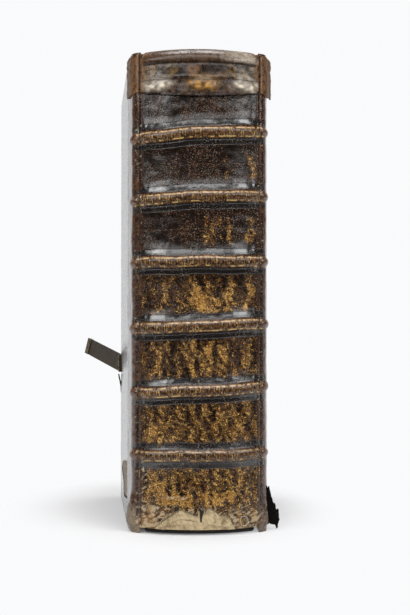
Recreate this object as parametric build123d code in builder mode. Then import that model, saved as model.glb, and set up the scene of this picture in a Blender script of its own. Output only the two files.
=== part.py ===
from build123d import *
import os
from math import atan2, cos, degrees, radians, sin, sqrt, tan

# An antique folio bible standing on its tail, with its spine to -Y and its fore-edge to +Y.
# Wooden boards in brown leather, sewn on six raised cords, patched at the head, torn at the tail,
# with one leather clasp strap left on the back board. Millimetres, +Z up, floor at Z = 0.

os.makedirs("parts", exist_ok=True)

# Text block
text_height = 387.0
text_thickness = 97.0
text_depth = 243.0
fore_edge_swell = 3.0
fore_edge_hollow = 13.0

# Boards and their covering
square = 5.5
board_wood = 8.0
leather = 1.2
turn_in = 0.6
turn_in_width = 18.0
pastedown = 0.5
edge_round = 2.2
board_gap = 0.2
joint_gap = 0.35
joint_step = 1.5
bevel_angle = 60.0
bevel_slope = 5.5
shoulder_rise = 6.2

# Rounded spine
spine_round = 18.5
lining = 0.6
lining_inset = 6.0
paste = 0.06
tail_gap = 3.8
head_gap = 6.2

# Raised bands over the sewing cords, from the tail upwards
first_band_height = 65.0
last_band_drop = 68.5
band_tilts = (0.7, 2.5, 2.1, 0.8, 2.5, 3.6)
band_radius = 5.2
band_height = 3.0
band_end_angle = 4.4
cord_radius = 3.6
cord_fit = 0.1
slip_height = 1.9
slip_radius = 4.6
slip_from_angle = 8.0
slip_to_angle = 34.0

# Endbands
endband_radius = 2.1
endband_inset = 0.6
endband_end_angle = 4.0

# Repair patch over the head
patch = 1.4
patch_height = 34.0
patch_sag = 5.0
patch_crease_drop = 10.5
patch_roll_bulge = 1.1
patch_wrap = 16.0
back_patch_flare = 0.5
front_patch_flare = 2.4
patch_end_angle = 2.0
patch_start_angle = 42.0
patch_end_drop = 1.5
cap_fit = 0.2
cap_turn_angle = 150.0
quarter_turn = 90.0
dent_radius = 15.0
dent_height = 1.8
dent_rise = 9.0

# Leather lost at the tail of the spine
loss_height = 20.0
loss_shares = (
    (0.61, -0.1), (0.525, 0.33), (0.475, 0.66), (0.325, 0.66), (0.24, 0.86),
    (0.14, 1.0), (0.075, 0.7), (0.06, 1.0), (-0.025, 0.98), (-0.04, 0.62),
    (-0.19, 0.74), (-0.325, 0.9), (-0.525, 0.57), (-0.69, 0.25), (-0.79, -0.1),
)
dent_place_shares = (-0.71, 0.05, 0.76)

# Torn remains of a tail patch: a lifted flake on the back board, a ragged flap on the front board
flake_low = 23.0
flake_high = 55.0
flake_from = 35.0
flake_to = 63.0
flake_lift = 4.5
flake_corner = 9.0
flap_low = 0.8
flap_height = 36.0
flap_reach = 9.0
flap_run = 9.0
flap_angle = 15.0
flap_shares = (
    (-0.45, 1.0), (0.0, 0.98), (0.25, 0.76), (0.45, 0.6), (0.6, 0.56),
    (0.66, 0.47), (0.95, 0.43), (1.0, 0.32), (0.9, 0.26), (1.0, 0.2),
    (0.93, 0.08), (0.72, 0.0), (0.6, 0.1), (0.0, 0.14), (-0.45, 0.14),
)
tongue_drop = 11.0
tongue_height = 19.0
tongue_root = 7.0
tongue_lift = 3.0
tongue_run = 10.0

# Clasp strap on the back board
ajar_angle = 1.8
strap_height = 135.0
strap_width = 16.5
strap = 2.0
strap_tongue = 22.0
strap_inset = 4.0
strap_bend_run = 9.0
strap_bend_lift = 1.6
strap_arm = 103.0
strap_out_angle = 17.4
strap_rise_angle = 8.6
strap_roll_angle = 11.0

# Brass on the strap and its catch on the front board
brass = 0.8
sleeve_length = 10.0
hook_width = 6.2
hook_reach = 3.2
hook_drop = 5.0
catch_length = 20.0
catch_inset = 3.0
catch_bar_radius = 1.3
nail_radius = 0.7
nail_head_radius = 1.7
nail_head = 0.8
nail_head_taper = 40.0
nail_depth = 5.0
nail_fit = 0.05
nail_margin = 4.0
overrun = 5.0

# Derived sizes
half_text = text_thickness / 2
board_height = text_height + 2 * square
board_width = text_depth + square
joint_half = half_text + joint_step
spine_radius = (joint_half**2 + spine_round**2) / (2 * spine_round)
spine_axis_v = spine_radius - spine_round
lining_radius = spine_radius - leather
text_radius = lining_radius - lining
shoulder_v = spine_axis_v - sqrt(text_radius**2 - half_text**2)
joint_angle = degrees(atan2(joint_half, spine_axis_v))
closed_swing = degrees(atan2(fore_edge_swell, text_depth - shoulder_v))
inner_a = half_text + board_gap - joint_half
wood_in_a = inner_a + turn_in
wood_out_a = wood_in_a + board_wood
outer_a = wood_out_a + leather
bevel_radius = shoulder_rise / (cos(radians(bevel_slope)) - cos(radians(bevel_angle)))
bevel_a = shoulder_rise - bevel_radius * cos(radians(bevel_slope))
bevel_b = joint_gap + bevel_radius * sin(radians(bevel_angle))
slope_start_b = bevel_b - bevel_radius * sin(radians(bevel_slope))
slope_end_b = slope_start_b + (outer_a - shoulder_rise) / tan(radians(bevel_slope))
wood_bevel = bevel_radius - leather
wood_start_b = bevel_b - sqrt(wood_bevel**2 - (wood_in_a - bevel_a) ** 2)
band_pitch = (board_height - first_band_height - last_band_drop) / (len(band_tilts) - 1)
band_heights = [first_band_height + n * band_pitch for n in range(len(band_tilts))]
band_sweep = joint_angle - band_end_angle
up = Vector(0, 0, 1)
spine_out = Vector(0, -1, 0)


def cover_axes(side, swing):
    """Directions out of a cover and along it; side is +1 for the front, -1 for the back."""
    outward = Vector(side * cos(radians(swing)), -sin(radians(swing)), 0)
    along = Vector(side * sin(radians(swing)), cos(radians(swing)), 0)
    return outward, along


# The strap's direction, its width and its outer face, turned out of the back cover's plane
back_swing = closed_swing + ajar_angle
tongue_high = strap_height - tongue_drop
tongue_low = tongue_high - tongue_height
back_out, back_along = cover_axes(-1, back_swing)
strap_flat = back_along * cos(radians(strap_out_angle)) + back_out * sin(radians(strap_out_angle))
strap_side = back_out * cos(radians(strap_out_angle)) - back_along * sin(radians(strap_out_angle))
strap_dir = strap_flat * cos(radians(strap_rise_angle)) + up * sin(radians(strap_rise_angle))
strap_up = up * cos(radians(strap_rise_angle)) - strap_flat * sin(radians(strap_rise_angle))
strap_across = strap_up * cos(radians(strap_roll_angle)) - strap_side * sin(radians(strap_roll_angle))
strap_face = strap_dir.cross(strap_across) * -1

# The frame: the origin is on the floor under the middle of the whole part's box
back_joint = Vector(-joint_half, 0, 0)
strap_root = (
    back_joint
    + back_out * (outer_a + strap / 2 + strap_bend_lift)
    + back_along * (board_width - strap_inset + strap_bend_run)
    + up * (strap_height + strap_bend_run * sin(radians(strap_rise_angle)))
)
strap_tip = strap_root + strap_dir * (strap_arm + hook_reach)
reach_left = -strap_tip.X + strap_width / 2 * sin(radians(strap_roll_angle))
reach_right = joint_half + outer_a + flap_reach
reach_front = spine_round + max(band_height, patch + dent_height)
reach_back = strap_tip.Y
book = Vector((reach_left - reach_right) / 2, (reach_front - reach_back) / 2, 0)


def place(u, v, z=0):
    """A point from the middle of the joints' plane, in the part's frame."""
    return book + Vector(u, v, z)


def ring_section(centre, axis_dir, facing, half_angle):
    """A sketch plane with its X radial and its Y along the axis, where a symmetric revolve starts."""
    radial = facing.rotate(Axis((0, 0, 0), axis_dir), -half_angle)
    return Plane(origin=centre, x_dir=radial, z_dir=radial.cross(axis_dir)), Axis(centre, axis_dir)


def ring_ends(centre, axis_dir, facing, half_angle, radius):
    """The two points that end a ring's arc."""
    turn = Axis((0, 0, 0), axis_dir)
    return [centre + facing.rotate(turn, angle) * radius for angle in (-half_angle, half_angle)]


def bent_bar(centre, axis_dir, facing, half_angle, ring_radius, bar_radius, mode=Mode.ADD):
    """A round bar bent along an arc, with round ends, for a band, its cord or a cord's groove."""
    plane, axis = ring_section(centre, axis_dir, facing, half_angle)
    with BuildSketch(plane) as section:
        with Locations((ring_radius, 0)):
            Circle(bar_radius)
    revolve(section.sketch, axis=axis, revolution_arc=2 * half_angle, mode=mode)
    with Locations(*ring_ends(centre, axis_dir, facing, half_angle, ring_radius)):
        Sphere(bar_radius, mode=mode)


def spine_segment(radius, half_width, start_z, height, mode=Mode.ADD):
    """The rounded back from its arc to the chord between its two edges."""
    edge_v = spine_axis_v - sqrt(radius**2 - half_width**2)
    with BuildSketch(Plane(place(0, 0, start_z))) as segment:
        with BuildLine():
            ThreePointArc((-half_width, edge_v), (0, spine_axis_v - radius), (half_width, edge_v))
            Line((half_width, edge_v), (-half_width, edge_v))
        make_face()
    extrude(segment.sketch, amount=height, mode=mode)


def spine_bars(ring_radius, bar_radius, mode=Mode.ADD):
    """One bent bar for each raised band, at the band's own height and slant."""
    for height, tilt in zip(band_heights, band_tilts):
        axis_dir = Vector(-sin(radians(tilt)), 0, cos(radians(tilt)))
        centre = place(0, spine_axis_v, height)
        bent_bar(centre, axis_dir, spine_out, band_sweep, ring_radius, bar_radius, mode)


def finish(piece, name):
    """Label a finished piece and write it."""
    piece.part.label = name
    export_step(piece.part, f"parts/{name}.step")


# Text block: all the leaves as one solid, with a rounded back and a hollow fore-edge
with BuildPart() as text_block:
    fore_half = half_text + fore_edge_swell
    back_v = spine_axis_v - text_radius
    hollow_v = text_depth - fore_edge_hollow
    with BuildSketch(Plane(place(0, 0, square))):
        with BuildLine():
            ThreePointArc((-half_text, shoulder_v), (0, back_v), (half_text, shoulder_v))
            Line((half_text, shoulder_v), (fore_half, text_depth))
            ThreePointArc((fore_half, text_depth), (0, hollow_v), (-fore_half, text_depth))
            Line((-fore_half, text_depth), (-half_text, shoulder_v))
        make_face()
    extrude(amount=text_height)
finish(text_block, "text_block")

# Sewing cords: one across the back under each raised band, flat where it lies on the leaves
cord_ring = spine_radius + band_height - leather - cord_fit - cord_radius
for number, (height, tilt) in enumerate(zip(band_heights, band_tilts), start=1):
    with BuildPart() as sewing_cord:
        axis_dir = Vector(-sin(radians(tilt)), 0, cos(radians(tilt)))
        centre = place(0, spine_axis_v, height)
        bent_bar(centre, axis_dir, spine_out, band_sweep, cord_ring, cord_radius)
        with BuildSketch(Plane(place(0, spine_axis_v, 0))):
            Circle(text_radius + cord_fit)
        extrude(amount=board_height, mode=Mode.SUBTRACT)
    finish(sewing_cord, f"sewing_cord_{number}")

# Spine linings: one pasted panel between each pair of cords
spine_low = tail_gap
spine_high = board_height - head_gap
with BuildPart() as spine_linings:
    lining_half = half_text - lining_inset
    spine_segment(lining_radius - paste, lining_half, spine_low, spine_high - spine_low)
    with BuildSketch(Plane(place(0, spine_axis_v, 0))):
        Circle(text_radius + paste)
    extrude(amount=board_height, mode=Mode.SUBTRACT)
    spine_bars(cord_ring, cord_radius + cord_fit, Mode.SUBTRACT)
finish(spine_linings, "spine_linings")

# Spine leather: moulded over the cords, with leather lost at the tail
band_ring = spine_radius + band_height - band_radius
with BuildPart() as spine_leather:
    spine_segment(spine_radius, joint_half, spine_low, spine_high - spine_low)
    spine_bars(band_ring, band_radius)
    with BuildSketch(Plane(place(0, spine_axis_v, 0))):
        Circle(lining_radius)
    extrude(amount=board_height, mode=Mode.SUBTRACT)
    spine_bars(cord_ring, cord_radius + cord_fit, Mode.SUBTRACT)
    loss_plane = Plane(place(0, 0, spine_low), x_dir=(1, 0, 0), z_dir=(0, -1, 0))
    with BuildSketch(loss_plane):
        Polygon(*[(u * joint_half, z * loss_height) for u, z in loss_shares], align=None)
    extrude(amount=spine_round + band_height + overrun, mode=Mode.SUBTRACT)
    with BuildSketch(Plane(place(0, 0, 0))):
        Rectangle(2 * (joint_half + band_radius), spine_axis_v, align=(Align.CENTER, Align.MIN))
    extrude(amount=board_height, mode=Mode.SUBTRACT)
finish(spine_leather, "spine_leather")

# Endbands: a sewn roll on the leaves' edge at each end of the back
endband_ring = text_radius - endband_inset - endband_radius
endband_sweep = joint_angle - endband_end_angle
for name, centre_z in (
    ("head_endband", square + text_height + endband_radius),
    ("tail_endband", square - endband_radius),
):
    with BuildPart() as endband:
        centre = place(0, spine_axis_v, centre_z)
        bent_bar(centre, up, spine_out, endband_sweep, endband_ring, endband_radius)
    finish(endband, name)

# Head patch: a strip of leather over the head of the spine, rolled in over the endband
cap_z = square + text_height + endband_radius
cap_inner = endband_radius + cap_fit
cap_outer = cap_inner + patch
turn_cos = cos(radians(cap_turn_angle))
turn_sin = sin(radians(cap_turn_angle))
half_turn = radians((quarter_turn + cap_turn_angle) / 2)
patch_low = board_height - patch_height - patch_sag
crease_z = board_height - patch_crease_drop
crease_r = spine_radius + patch
cap_top = (endband_ring, cap_z + cap_outer)
roll_out = (crease_r + patch_roll_bulge, (crease_z + cap_top[1]) / 2)
with BuildPart() as head_patch:
    patch_sweep = joint_angle - patch_end_angle
    section, axis = ring_section(place(0, spine_axis_v), up, spine_out, patch_sweep)
    with BuildSketch(section):
        with BuildLine():
            Polyline(
                (spine_radius, spine_high),
                (spine_radius, patch_low),
                (crease_r, patch_low),
                (crease_r, crease_z),
            )
            ThreePointArc((crease_r, crease_z), roll_out, cap_top)
            ThreePointArc(
                cap_top,
                (endband_ring + cap_outer * cos(half_turn), cap_z + cap_outer * sin(half_turn)),
                (endband_ring + cap_outer * turn_cos, cap_z + cap_outer * turn_sin),
            )
            Line(
                (endband_ring + cap_outer * turn_cos, cap_z + cap_outer * turn_sin),
                (endband_ring + cap_inner * turn_cos, cap_z + cap_inner * turn_sin),
            )
            ThreePointArc(
                (endband_ring + cap_inner * turn_cos, cap_z + cap_inner * turn_sin),
                (endband_ring, cap_z + cap_inner),
                (endband_ring + cap_inner, cap_z),
            )
            Line((endband_ring + cap_inner, cap_z), (spine_radius, spine_high))
        make_face()
    revolve(axis=axis, revolution_arc=2 * patch_sweep)
    dent_ring = crease_r + dent_height - dent_radius
    for share in dent_place_shares:
        dent_angle = degrees(atan2(share * joint_half, spine_axis_v))
        dent_dir = spine_out.rotate(Axis.Z, dent_angle)
        with Locations(place(0, spine_axis_v, patch_low + dent_rise) + dent_dir * dent_ring):
            Sphere(dent_radius)
    with BuildSketch(Plane(place(0, spine_axis_v, 0))):
        Circle(spine_radius)
    extrude(amount=spine_high, mode=Mode.SUBTRACT)
    with BuildSketch(Plane(place(0, 0, patch_low), x_dir=(1, 0, 0), z_dir=(0, -1, 0))):
        with BuildLine():
            ThreePointArc((-joint_half, patch_sag), (0, 0), (joint_half, patch_sag))
            Polyline(
                (joint_half, patch_sag),
                (joint_half, -dent_radius),
                (-joint_half, -dent_radius),
                (-joint_half, patch_sag),
            )
        make_face()
    extrude(amount=spine_round + patch + dent_height + overrun, mode=Mode.SUBTRACT)
finish(head_patch, "head_patch")


def cover_plan(side, swing, z):
    """A plan plane at a cover's joint, with its X out of the cover."""
    outward, _ = cover_axes(side, swing)
    return Plane(place(side * joint_half, 0, z), x_dir=outward, z_dir=up)


def cover_face(side, swing, a):
    """A plane in a cover, with its X along the cover and its Z outward."""
    outward, along = cover_axes(side, swing)
    return Plane(place(side * joint_half, 0) + outward * a, x_dir=along, z_dir=outward)


def cover_section(side, swing, b):
    """A plane across a cover, with its X outward and its Y up."""
    outward, along = cover_axes(side, swing)
    return Plane(place(side * joint_half, 0) + along * b, x_dir=outward, z_dir=outward.cross(up))


def bevel_point(side, radius, angle):
    """A point of the rounded spine edge of a cover, in its plan."""
    return bevel_a + radius * cos(radians(angle)), side * (bevel_b - radius * sin(radians(angle)))


def bevel_arc(side, radius, angle):
    """The rounded spine edge of a cover, from its joint to the slope of its outer face."""
    turns = (angle, (angle + bevel_slope) / 2, bevel_slope)
    return ThreePointArc(*[bevel_point(side, radius, turn) for turn in turns])


def slope_point(side, radius, run):
    """A point of the long slope that follows the rounded edge, in a cover's plan."""
    start_a, start_b = bevel_point(side, radius, bevel_slope)
    return start_a + run * sin(radians(bevel_slope)), start_b + side * run * cos(radians(bevel_slope))


def wood_outline(side, swing):
    """The plan of a bare wooden board, set up by the leather under its tail."""
    wood_end = side * (board_width - leather)
    slope_end = side * (slope_end_b + leather * tan(radians(bevel_slope / 2)))
    start_angle = degrees(atan2(bevel_b - wood_start_b, wood_in_a - bevel_a))
    with BuildSketch(cover_plan(side, swing, leather)) as outline:
        with BuildLine():
            edge = bevel_arc(side, wood_bevel, start_angle)
            Polyline(
                edge @ 1,
                (wood_out_a, slope_end),
                (wood_out_a, wood_end),
                (wood_in_a, wood_end),
                edge @ 0,
            )
        make_face()
    return outline.sketch


def nail_holes(side, swing, nail_spots):
    """The outlines of a cover's nail holes, at the bottom of the nails."""
    with BuildSketch(cover_face(side, swing, wood_out_a - nail_depth)) as holes:
        with Locations(*[(b, side * z) for b, z in nail_spots]):
            Circle(nail_radius + nail_fit)
    return holes.sketch


def band_slips(side, swing):
    """The laced ends of the cords, which raise the leather where a cover's spine edge turns outward."""
    outward, along = cover_axes(side, swing)
    slip_mid = radians((slip_from_angle + slip_to_angle) / 2)
    facing = outward * cos(slip_mid) - along * sin(slip_mid)
    slip_ring = bevel_radius + slip_height - slip_radius
    with BuildPart() as slips:
        for height, tilt in zip(band_heights, band_tilts):
            slip_z = height + side * (joint_half + outer_a / 2) * sin(radians(tilt))
            centre = cover_plan(side, swing, slip_z).from_local_coords((bevel_a, side * bevel_b, 0))
            bent_bar(centre, up, facing, (slip_to_angle - slip_from_angle) / 2, slip_ring, slip_radius)
    return slips.part


def lifted_flake():
    """A curling piece of an old tail patch on the back board, and a tongue torn up by the strap."""
    with BuildPart() as flake:
        with BuildSketch(cover_plan(-1, back_swing, flake_low)):
            root_a = outer_a - leather / 2
            mid_b = (flake_from + flake_to) / 2
            mid_lift = flake_lift / 4
            with BuildLine():
                ThreePointArc(
                    (root_a, -flake_from),
                    (root_a + mid_lift, -mid_b),
                    (root_a + flake_lift, -flake_to),
                )
                Line((root_a + flake_lift, -flake_to), (outer_a + flake_lift, -flake_to))
                ThreePointArc(
                    (outer_a + flake_lift, -flake_to),
                    (outer_a + leather / 2 + mid_lift, -mid_b),
                    (outer_a, -flake_from),
                )
                Line((outer_a, -flake_from), (root_a, -flake_from))
            make_face()
        extrude(amount=flake_high - flake_low)
        with BuildSketch(cover_face(-1, back_swing, outer_a - leather)):
            with Locations((mid_b, -(flake_low + flake_high) / 2)):
                RectangleRounded(flake_to - flake_from, flake_high - flake_low, flake_corner)
        extrude(amount=flake_lift + 2 * leather, mode=Mode.INTERSECT)
        with BuildSketch(cover_section(-1, back_swing, board_width - edge_round - tongue_run / 2)):
            Polygon(
                (outer_a - leather / 2, tongue_low),
                (outer_a + leather / 2, tongue_low + tongue_root),
                (outer_a + tongue_lift, tongue_high),
                (outer_a + tongue_lift - leather, tongue_high),
                (outer_a - leather / 2, tongue_low + tongue_root),
                align=None,
            )
        extrude(amount=tongue_run / 2, both=True)
    return flake.part


def torn_flap():
    """The ragged black flap that stands off the front board at its tail."""
    root_a, root_b = bevel_point(1, bevel_radius - leather / 2, flap_angle)
    tip_a = outer_a + flap_reach
    tip_b = root_b + flap_run
    with BuildPart() as flap:
        with BuildSketch(cover_plan(1, closed_swing, flap_low)):
            with BuildLine():
                ThreePointArc(
                    (root_a, root_b), ((root_a + tip_a) / 2, root_b + flap_run / 3), (tip_a, tip_b)
                )
                Line((tip_a, tip_b), (tip_a, tip_b + leather))
                ThreePointArc(
                    (tip_a, tip_b + leather),
                    ((root_a + tip_a) / 2, root_b + flap_run / 3 + leather),
                    (root_a, root_b + leather),
                )
                Line((root_a, root_b + leather), (root_a, root_b))
            make_face()
        extrude(amount=flap_height)
        ragged = [(outer_a + a * flap_reach, flap_low + z * flap_height) for a, z in flap_shares]
        with BuildSketch(cover_section(1, closed_swing, root_b)):
            Polygon(*ragged, align=None)
        extrude(amount=flap_run + overrun, both=True, mode=Mode.INTERSECT)
    return flap.part


def make_cover(name, side, swing, nail_spots, torn_piece, patch_flare):
    """The board of one cover, its leather with the torn piece on it, its pastedown and the patch's end."""
    with BuildPart() as board:
        extrude(wood_outline(side, swing), amount=board_height - 2 * leather, dir=up)
        extrude(nail_holes(side, swing, nail_spots), amount=nail_depth, mode=Mode.SUBTRACT)
    finish(board, f"{name}_board")

    plan = cover_plan(side, swing, 0)
    with BuildPart() as cover_leather:
        with BuildSketch(plan):
            with BuildLine():
                edge = bevel_arc(side, bevel_radius, bevel_angle)
                Polyline(
                    edge @ 1,
                    (outer_a, side * slope_end_b),
                    (outer_a, side * board_width),
                    (inner_a, side * board_width),
                    (inner_a, side * joint_gap),
                    edge @ 0,
                )
            make_face()
        extrude(amount=board_height)
        outer_corner = plan.from_local_coords((outer_a, side * board_width, 0))
        fillet(cover_leather.edges().filter_by(Axis.Z).sort_by_distance(outer_corner)[0], edge_round)
        add(band_slips(side, swing))
        add(torn_piece)
        with BuildSketch(plan):
            with Locations((inner_a, side * board_width / 2)):
                Rectangle(2 * overrun, board_width + overrun, align=(Align.MAX, Align.CENTER))
        extrude(amount=board_height, mode=Mode.SUBTRACT)
        extrude(wood_outline(side, swing), amount=board_height - 2 * leather, dir=up, mode=Mode.SUBTRACT)
        with BuildSketch(cover_plan(side, swing, turn_in_width)):
            with Locations((wood_in_a, side * (wood_start_b + board_width - turn_in_width) / 2)):
                Rectangle(
                    turn_in + overrun,
                    board_width - turn_in_width - wood_start_b,
                    align=(Align.MAX, Align.CENTER),
                )
        extrude(amount=board_height - 2 * turn_in_width, mode=Mode.SUBTRACT)
        extrude(nail_holes(side, swing, nail_spots), amount=nail_depth + leather, mode=Mode.SUBTRACT)
    finish(cover_leather, f"{name}_cover_leather")

    with BuildPart() as pasted_leaf:
        with BuildSketch(cover_plan(side, swing, turn_in_width + board_gap)):
            with Locations((wood_in_a, side * (wood_start_b + board_width - turn_in_width) / 2)):
                Rectangle(
                    pastedown,
                    board_width - turn_in_width - wood_start_b - 2 * board_gap,
                    align=(Align.MAX, Align.CENTER),
                )
        extrude(amount=board_height - 2 * (turn_in_width + board_gap))
    finish(pasted_leaf, f"{name}_pastedown")

    with BuildPart() as patch_end:
        with BuildSketch(cover_plan(side, swing, board_height - patch_height)):
            with BuildLine():
                under = bevel_arc(side, bevel_radius, patch_start_angle)
                over = bevel_arc(side, bevel_radius + patch, patch_start_angle)
                under_end = slope_point(side, bevel_radius + patch_flare, patch_wrap)
                over_end = slope_point(side, bevel_radius + patch + patch_flare, patch_wrap)
                Polyline(under @ 1, under_end, over_end, over @ 1)
                Line(over @ 0, under @ 0)
            make_face()
        extrude(amount=patch_height - patch_end_drop)
    finish(patch_end, f"{name}_patch_end")


def make_nails(name, side, swing, nail_spots, plate_a):
    """Round-headed nails driven through a brass plate into a board."""
    with BuildPart() as nails:
        with BuildSketch(cover_face(side, swing, wood_out_a - nail_depth)):
            with Locations(*[(b, side * z) for b, z in nail_spots]):
                Circle(nail_radius)
        extrude(amount=plate_a - wood_out_a + nail_depth)
        with BuildSketch(cover_face(side, swing, plate_a)):
            with Locations(*[(b, side * z) for b, z in nail_spots]):
                Circle(nail_head_radius)
        extrude(amount=nail_head, taper=nail_head_taper)
    finish(nails, name)


# Covers: the back cover stands a little ajar, the front cover lies on the leaves
strap_end_b = board_width - strap_inset
strap_start_b = strap_end_b - strap_tongue
nail_half = strap_width / 2 - nail_margin
strap_nails = [
    (b, strap_height + dz)
    for b in (strap_start_b + nail_margin, strap_end_b - nail_margin)
    for dz in (-nail_half, nail_half)
]
catch_end_b = board_width - catch_inset
catch_start_b = catch_end_b - catch_length
catch_nails = [(catch_start_b + nail_margin, strap_height + dz) for dz in (-nail_half, nail_half)]
make_cover("back", -1, back_swing, strap_nails, lifted_flake(), back_patch_flare)
make_cover("front", 1, closed_swing, catch_nails, torn_flap(), front_patch_flare)

# Clasp strap: flat under its plate, then turned out, up and a little over
strap_mid = place(-joint_half, 0) + back_out * (outer_a + strap / 2) + up * strap_height
tongue_plane = Plane(strap_mid + back_along * strap_end_b, x_dir=up, z_dir=back_along)
arm_plane = Plane(book + strap_root, x_dir=strap_across, z_dir=strap_dir)
rivet_plane = Plane(
    book + strap_root + strap_dir * (strap_arm - sleeve_length / 2), x_dir=strap_across, z_dir=strap_face
)
rivet_spots = [(-strap_width / 4, 0), (strap_width / 4, 0)]
sleeve = strap / 2 + brass
with BuildPart() as clasp_strap:
    with BuildSketch(tongue_plane) as tongue_end:
        Rectangle(strap_width, strap)
    with BuildSketch(arm_plane) as arm_start:
        Rectangle(strap_width, strap)
    loft()
    extrude(tongue_end.sketch, amount=-strap_tongue)
    extrude(arm_start.sketch, amount=strap_arm)
    nail_run = nail_depth + leather + strap
    extrude(nail_holes(-1, back_swing, strap_nails), amount=nail_run, mode=Mode.SUBTRACT)
    with BuildSketch(rivet_plane):
        with Locations(*rivet_spots):
            Circle(nail_radius + nail_fit)
    extrude(amount=sleeve, both=True, mode=Mode.SUBTRACT)
finish(clasp_strap, "clasp_strap")

# Clasp hook: a brass sleeve folded over the strap's end, with a tongue bent in to catch
with BuildPart() as clasp_hook:
    with BuildSketch(arm_plane.offset(strap_arm - sleeve_length)):
        Rectangle(strap_width, 2 * sleeve)
    extrude(amount=sleeve_length + brass)
    with BuildSketch(arm_plane.offset(strap_arm - sleeve_length)):
        Rectangle(strap_width + overrun, strap + 2 * nail_fit)
    extrude(amount=sleeve_length + nail_fit, mode=Mode.SUBTRACT)
    with BuildSketch(arm_plane.offset(strap_arm + brass)):
        with Locations((0, strap / 2)):
            Rectangle(hook_width, brass, align=(Align.CENTER, Align.MIN))
    extrude(amount=hook_reach - brass)
    with BuildSketch(arm_plane.offset(strap_arm + hook_reach - brass)):
        with Locations((0, strap / 2)):
            Rectangle(hook_width, hook_drop, align=(Align.CENTER, Align.MIN))
    extrude(amount=brass)
    with BuildSketch(rivet_plane):
        with Locations(*rivet_spots):
            Circle(nail_radius + nail_fit)
    extrude(amount=sleeve + overrun, both=True, mode=Mode.SUBTRACT)
finish(clasp_hook, "clasp_hook")

with BuildPart() as hook_rivets:
    with BuildSketch(rivet_plane):
        with Locations(*rivet_spots):
            Circle(nail_radius)
    extrude(amount=sleeve, both=True)
    for direction in (1, -1):
        outward = strap_face * direction
        with BuildSketch(Plane(rivet_plane.origin + outward * sleeve, strap_across, outward)):
            with Locations(*rivet_spots):
                Circle(nail_head_radius)
        extrude(amount=nail_head, taper=nail_head_taper)
finish(hook_rivets, "hook_rivets")

# Brass plate that holds the strap's root, and the catch on the front board
with BuildPart() as strap_plate:
    with BuildSketch(cover_face(-1, back_swing, outer_a + strap)):
        with Locations(((strap_start_b + strap_end_b) / 2, -strap_height)):
            Rectangle(strap_tongue, strap_width)
    extrude(amount=brass)
    extrude(nail_holes(-1, back_swing, strap_nails), amount=nail_depth + outer_a, mode=Mode.SUBTRACT)
finish(strap_plate, "strap_plate")
make_nails("strap_nails", -1, back_swing, strap_nails, outer_a + strap + brass)

with BuildPart() as catch_plate:
    with BuildSketch(cover_face(1, closed_swing, outer_a)):
        with Locations(((catch_start_b + catch_end_b) / 2, strap_height)):
            Rectangle(catch_length, strap_width)
    extrude(amount=brass)
    bar_plan = cover_plan(1, closed_swing, strap_height - strap_width / 2)
    with BuildSketch(bar_plan):
        with Locations((outer_a + brass + catch_bar_radius / 2, catch_end_b - catch_bar_radius)):
            Circle(catch_bar_radius)
    extrude(amount=strap_width)
    with BuildSketch(bar_plan):
        with Locations((outer_a, catch_end_b)):
            Rectangle(overrun, 2 * overrun, align=(Align.MAX, Align.CENTER))
    extrude(amount=strap_width, mode=Mode.SUBTRACT)
    extrude(nail_holes(1, closed_swing, catch_nails), amount=nail_depth + outer_a, mode=Mode.SUBTRACT)
finish(catch_plate, "catch_plate")
make_nails("catch_nails", 1, closed_swing, catch_nails, outer_a + brass)
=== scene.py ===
"""Looks of an antique folio bible that stands on its tail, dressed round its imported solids."""

import logging
import math
from collections.abc import Iterator, Sequence
from dataclasses import dataclass, field
from enum import Enum

import bmesh
import bpy
import numpy as np
from mathutils import Euler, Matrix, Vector


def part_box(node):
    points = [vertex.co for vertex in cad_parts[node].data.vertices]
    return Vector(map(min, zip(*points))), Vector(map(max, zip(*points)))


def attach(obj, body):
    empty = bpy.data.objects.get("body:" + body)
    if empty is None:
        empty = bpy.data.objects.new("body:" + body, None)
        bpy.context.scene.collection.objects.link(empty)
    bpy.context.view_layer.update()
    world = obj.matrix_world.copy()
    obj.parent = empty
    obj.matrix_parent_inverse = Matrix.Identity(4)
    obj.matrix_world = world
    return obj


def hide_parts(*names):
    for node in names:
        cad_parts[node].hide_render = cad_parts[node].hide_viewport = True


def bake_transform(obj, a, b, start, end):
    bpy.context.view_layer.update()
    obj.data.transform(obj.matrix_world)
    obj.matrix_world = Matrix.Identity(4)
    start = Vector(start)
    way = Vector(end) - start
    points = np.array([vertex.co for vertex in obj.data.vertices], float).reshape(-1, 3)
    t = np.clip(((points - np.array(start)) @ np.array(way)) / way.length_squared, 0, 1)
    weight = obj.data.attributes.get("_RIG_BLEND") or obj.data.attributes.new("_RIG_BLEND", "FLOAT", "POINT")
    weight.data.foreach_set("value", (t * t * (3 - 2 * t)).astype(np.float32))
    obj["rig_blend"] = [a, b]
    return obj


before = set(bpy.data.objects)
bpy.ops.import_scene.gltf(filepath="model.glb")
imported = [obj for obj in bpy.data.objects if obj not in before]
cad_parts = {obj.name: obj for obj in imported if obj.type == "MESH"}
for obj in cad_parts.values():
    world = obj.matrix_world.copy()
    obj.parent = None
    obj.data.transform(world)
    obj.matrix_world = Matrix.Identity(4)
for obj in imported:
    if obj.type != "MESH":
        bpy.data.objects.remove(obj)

LOG = logging.getLogger("bible")
MM = 0.001
SEED = 1683
COARSE = 4

Colour = tuple[float, float, float, float]


def rgb(red: float, green: float, blue: float) -> Colour:
    """A colour with full alpha."""
    return (red, green, blue, 1.0)


class Body(Enum):
    """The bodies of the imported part."""

    BLOCK = "book_block"
    BACK = "back_cover"
    FRONT = "front_cover"


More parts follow.
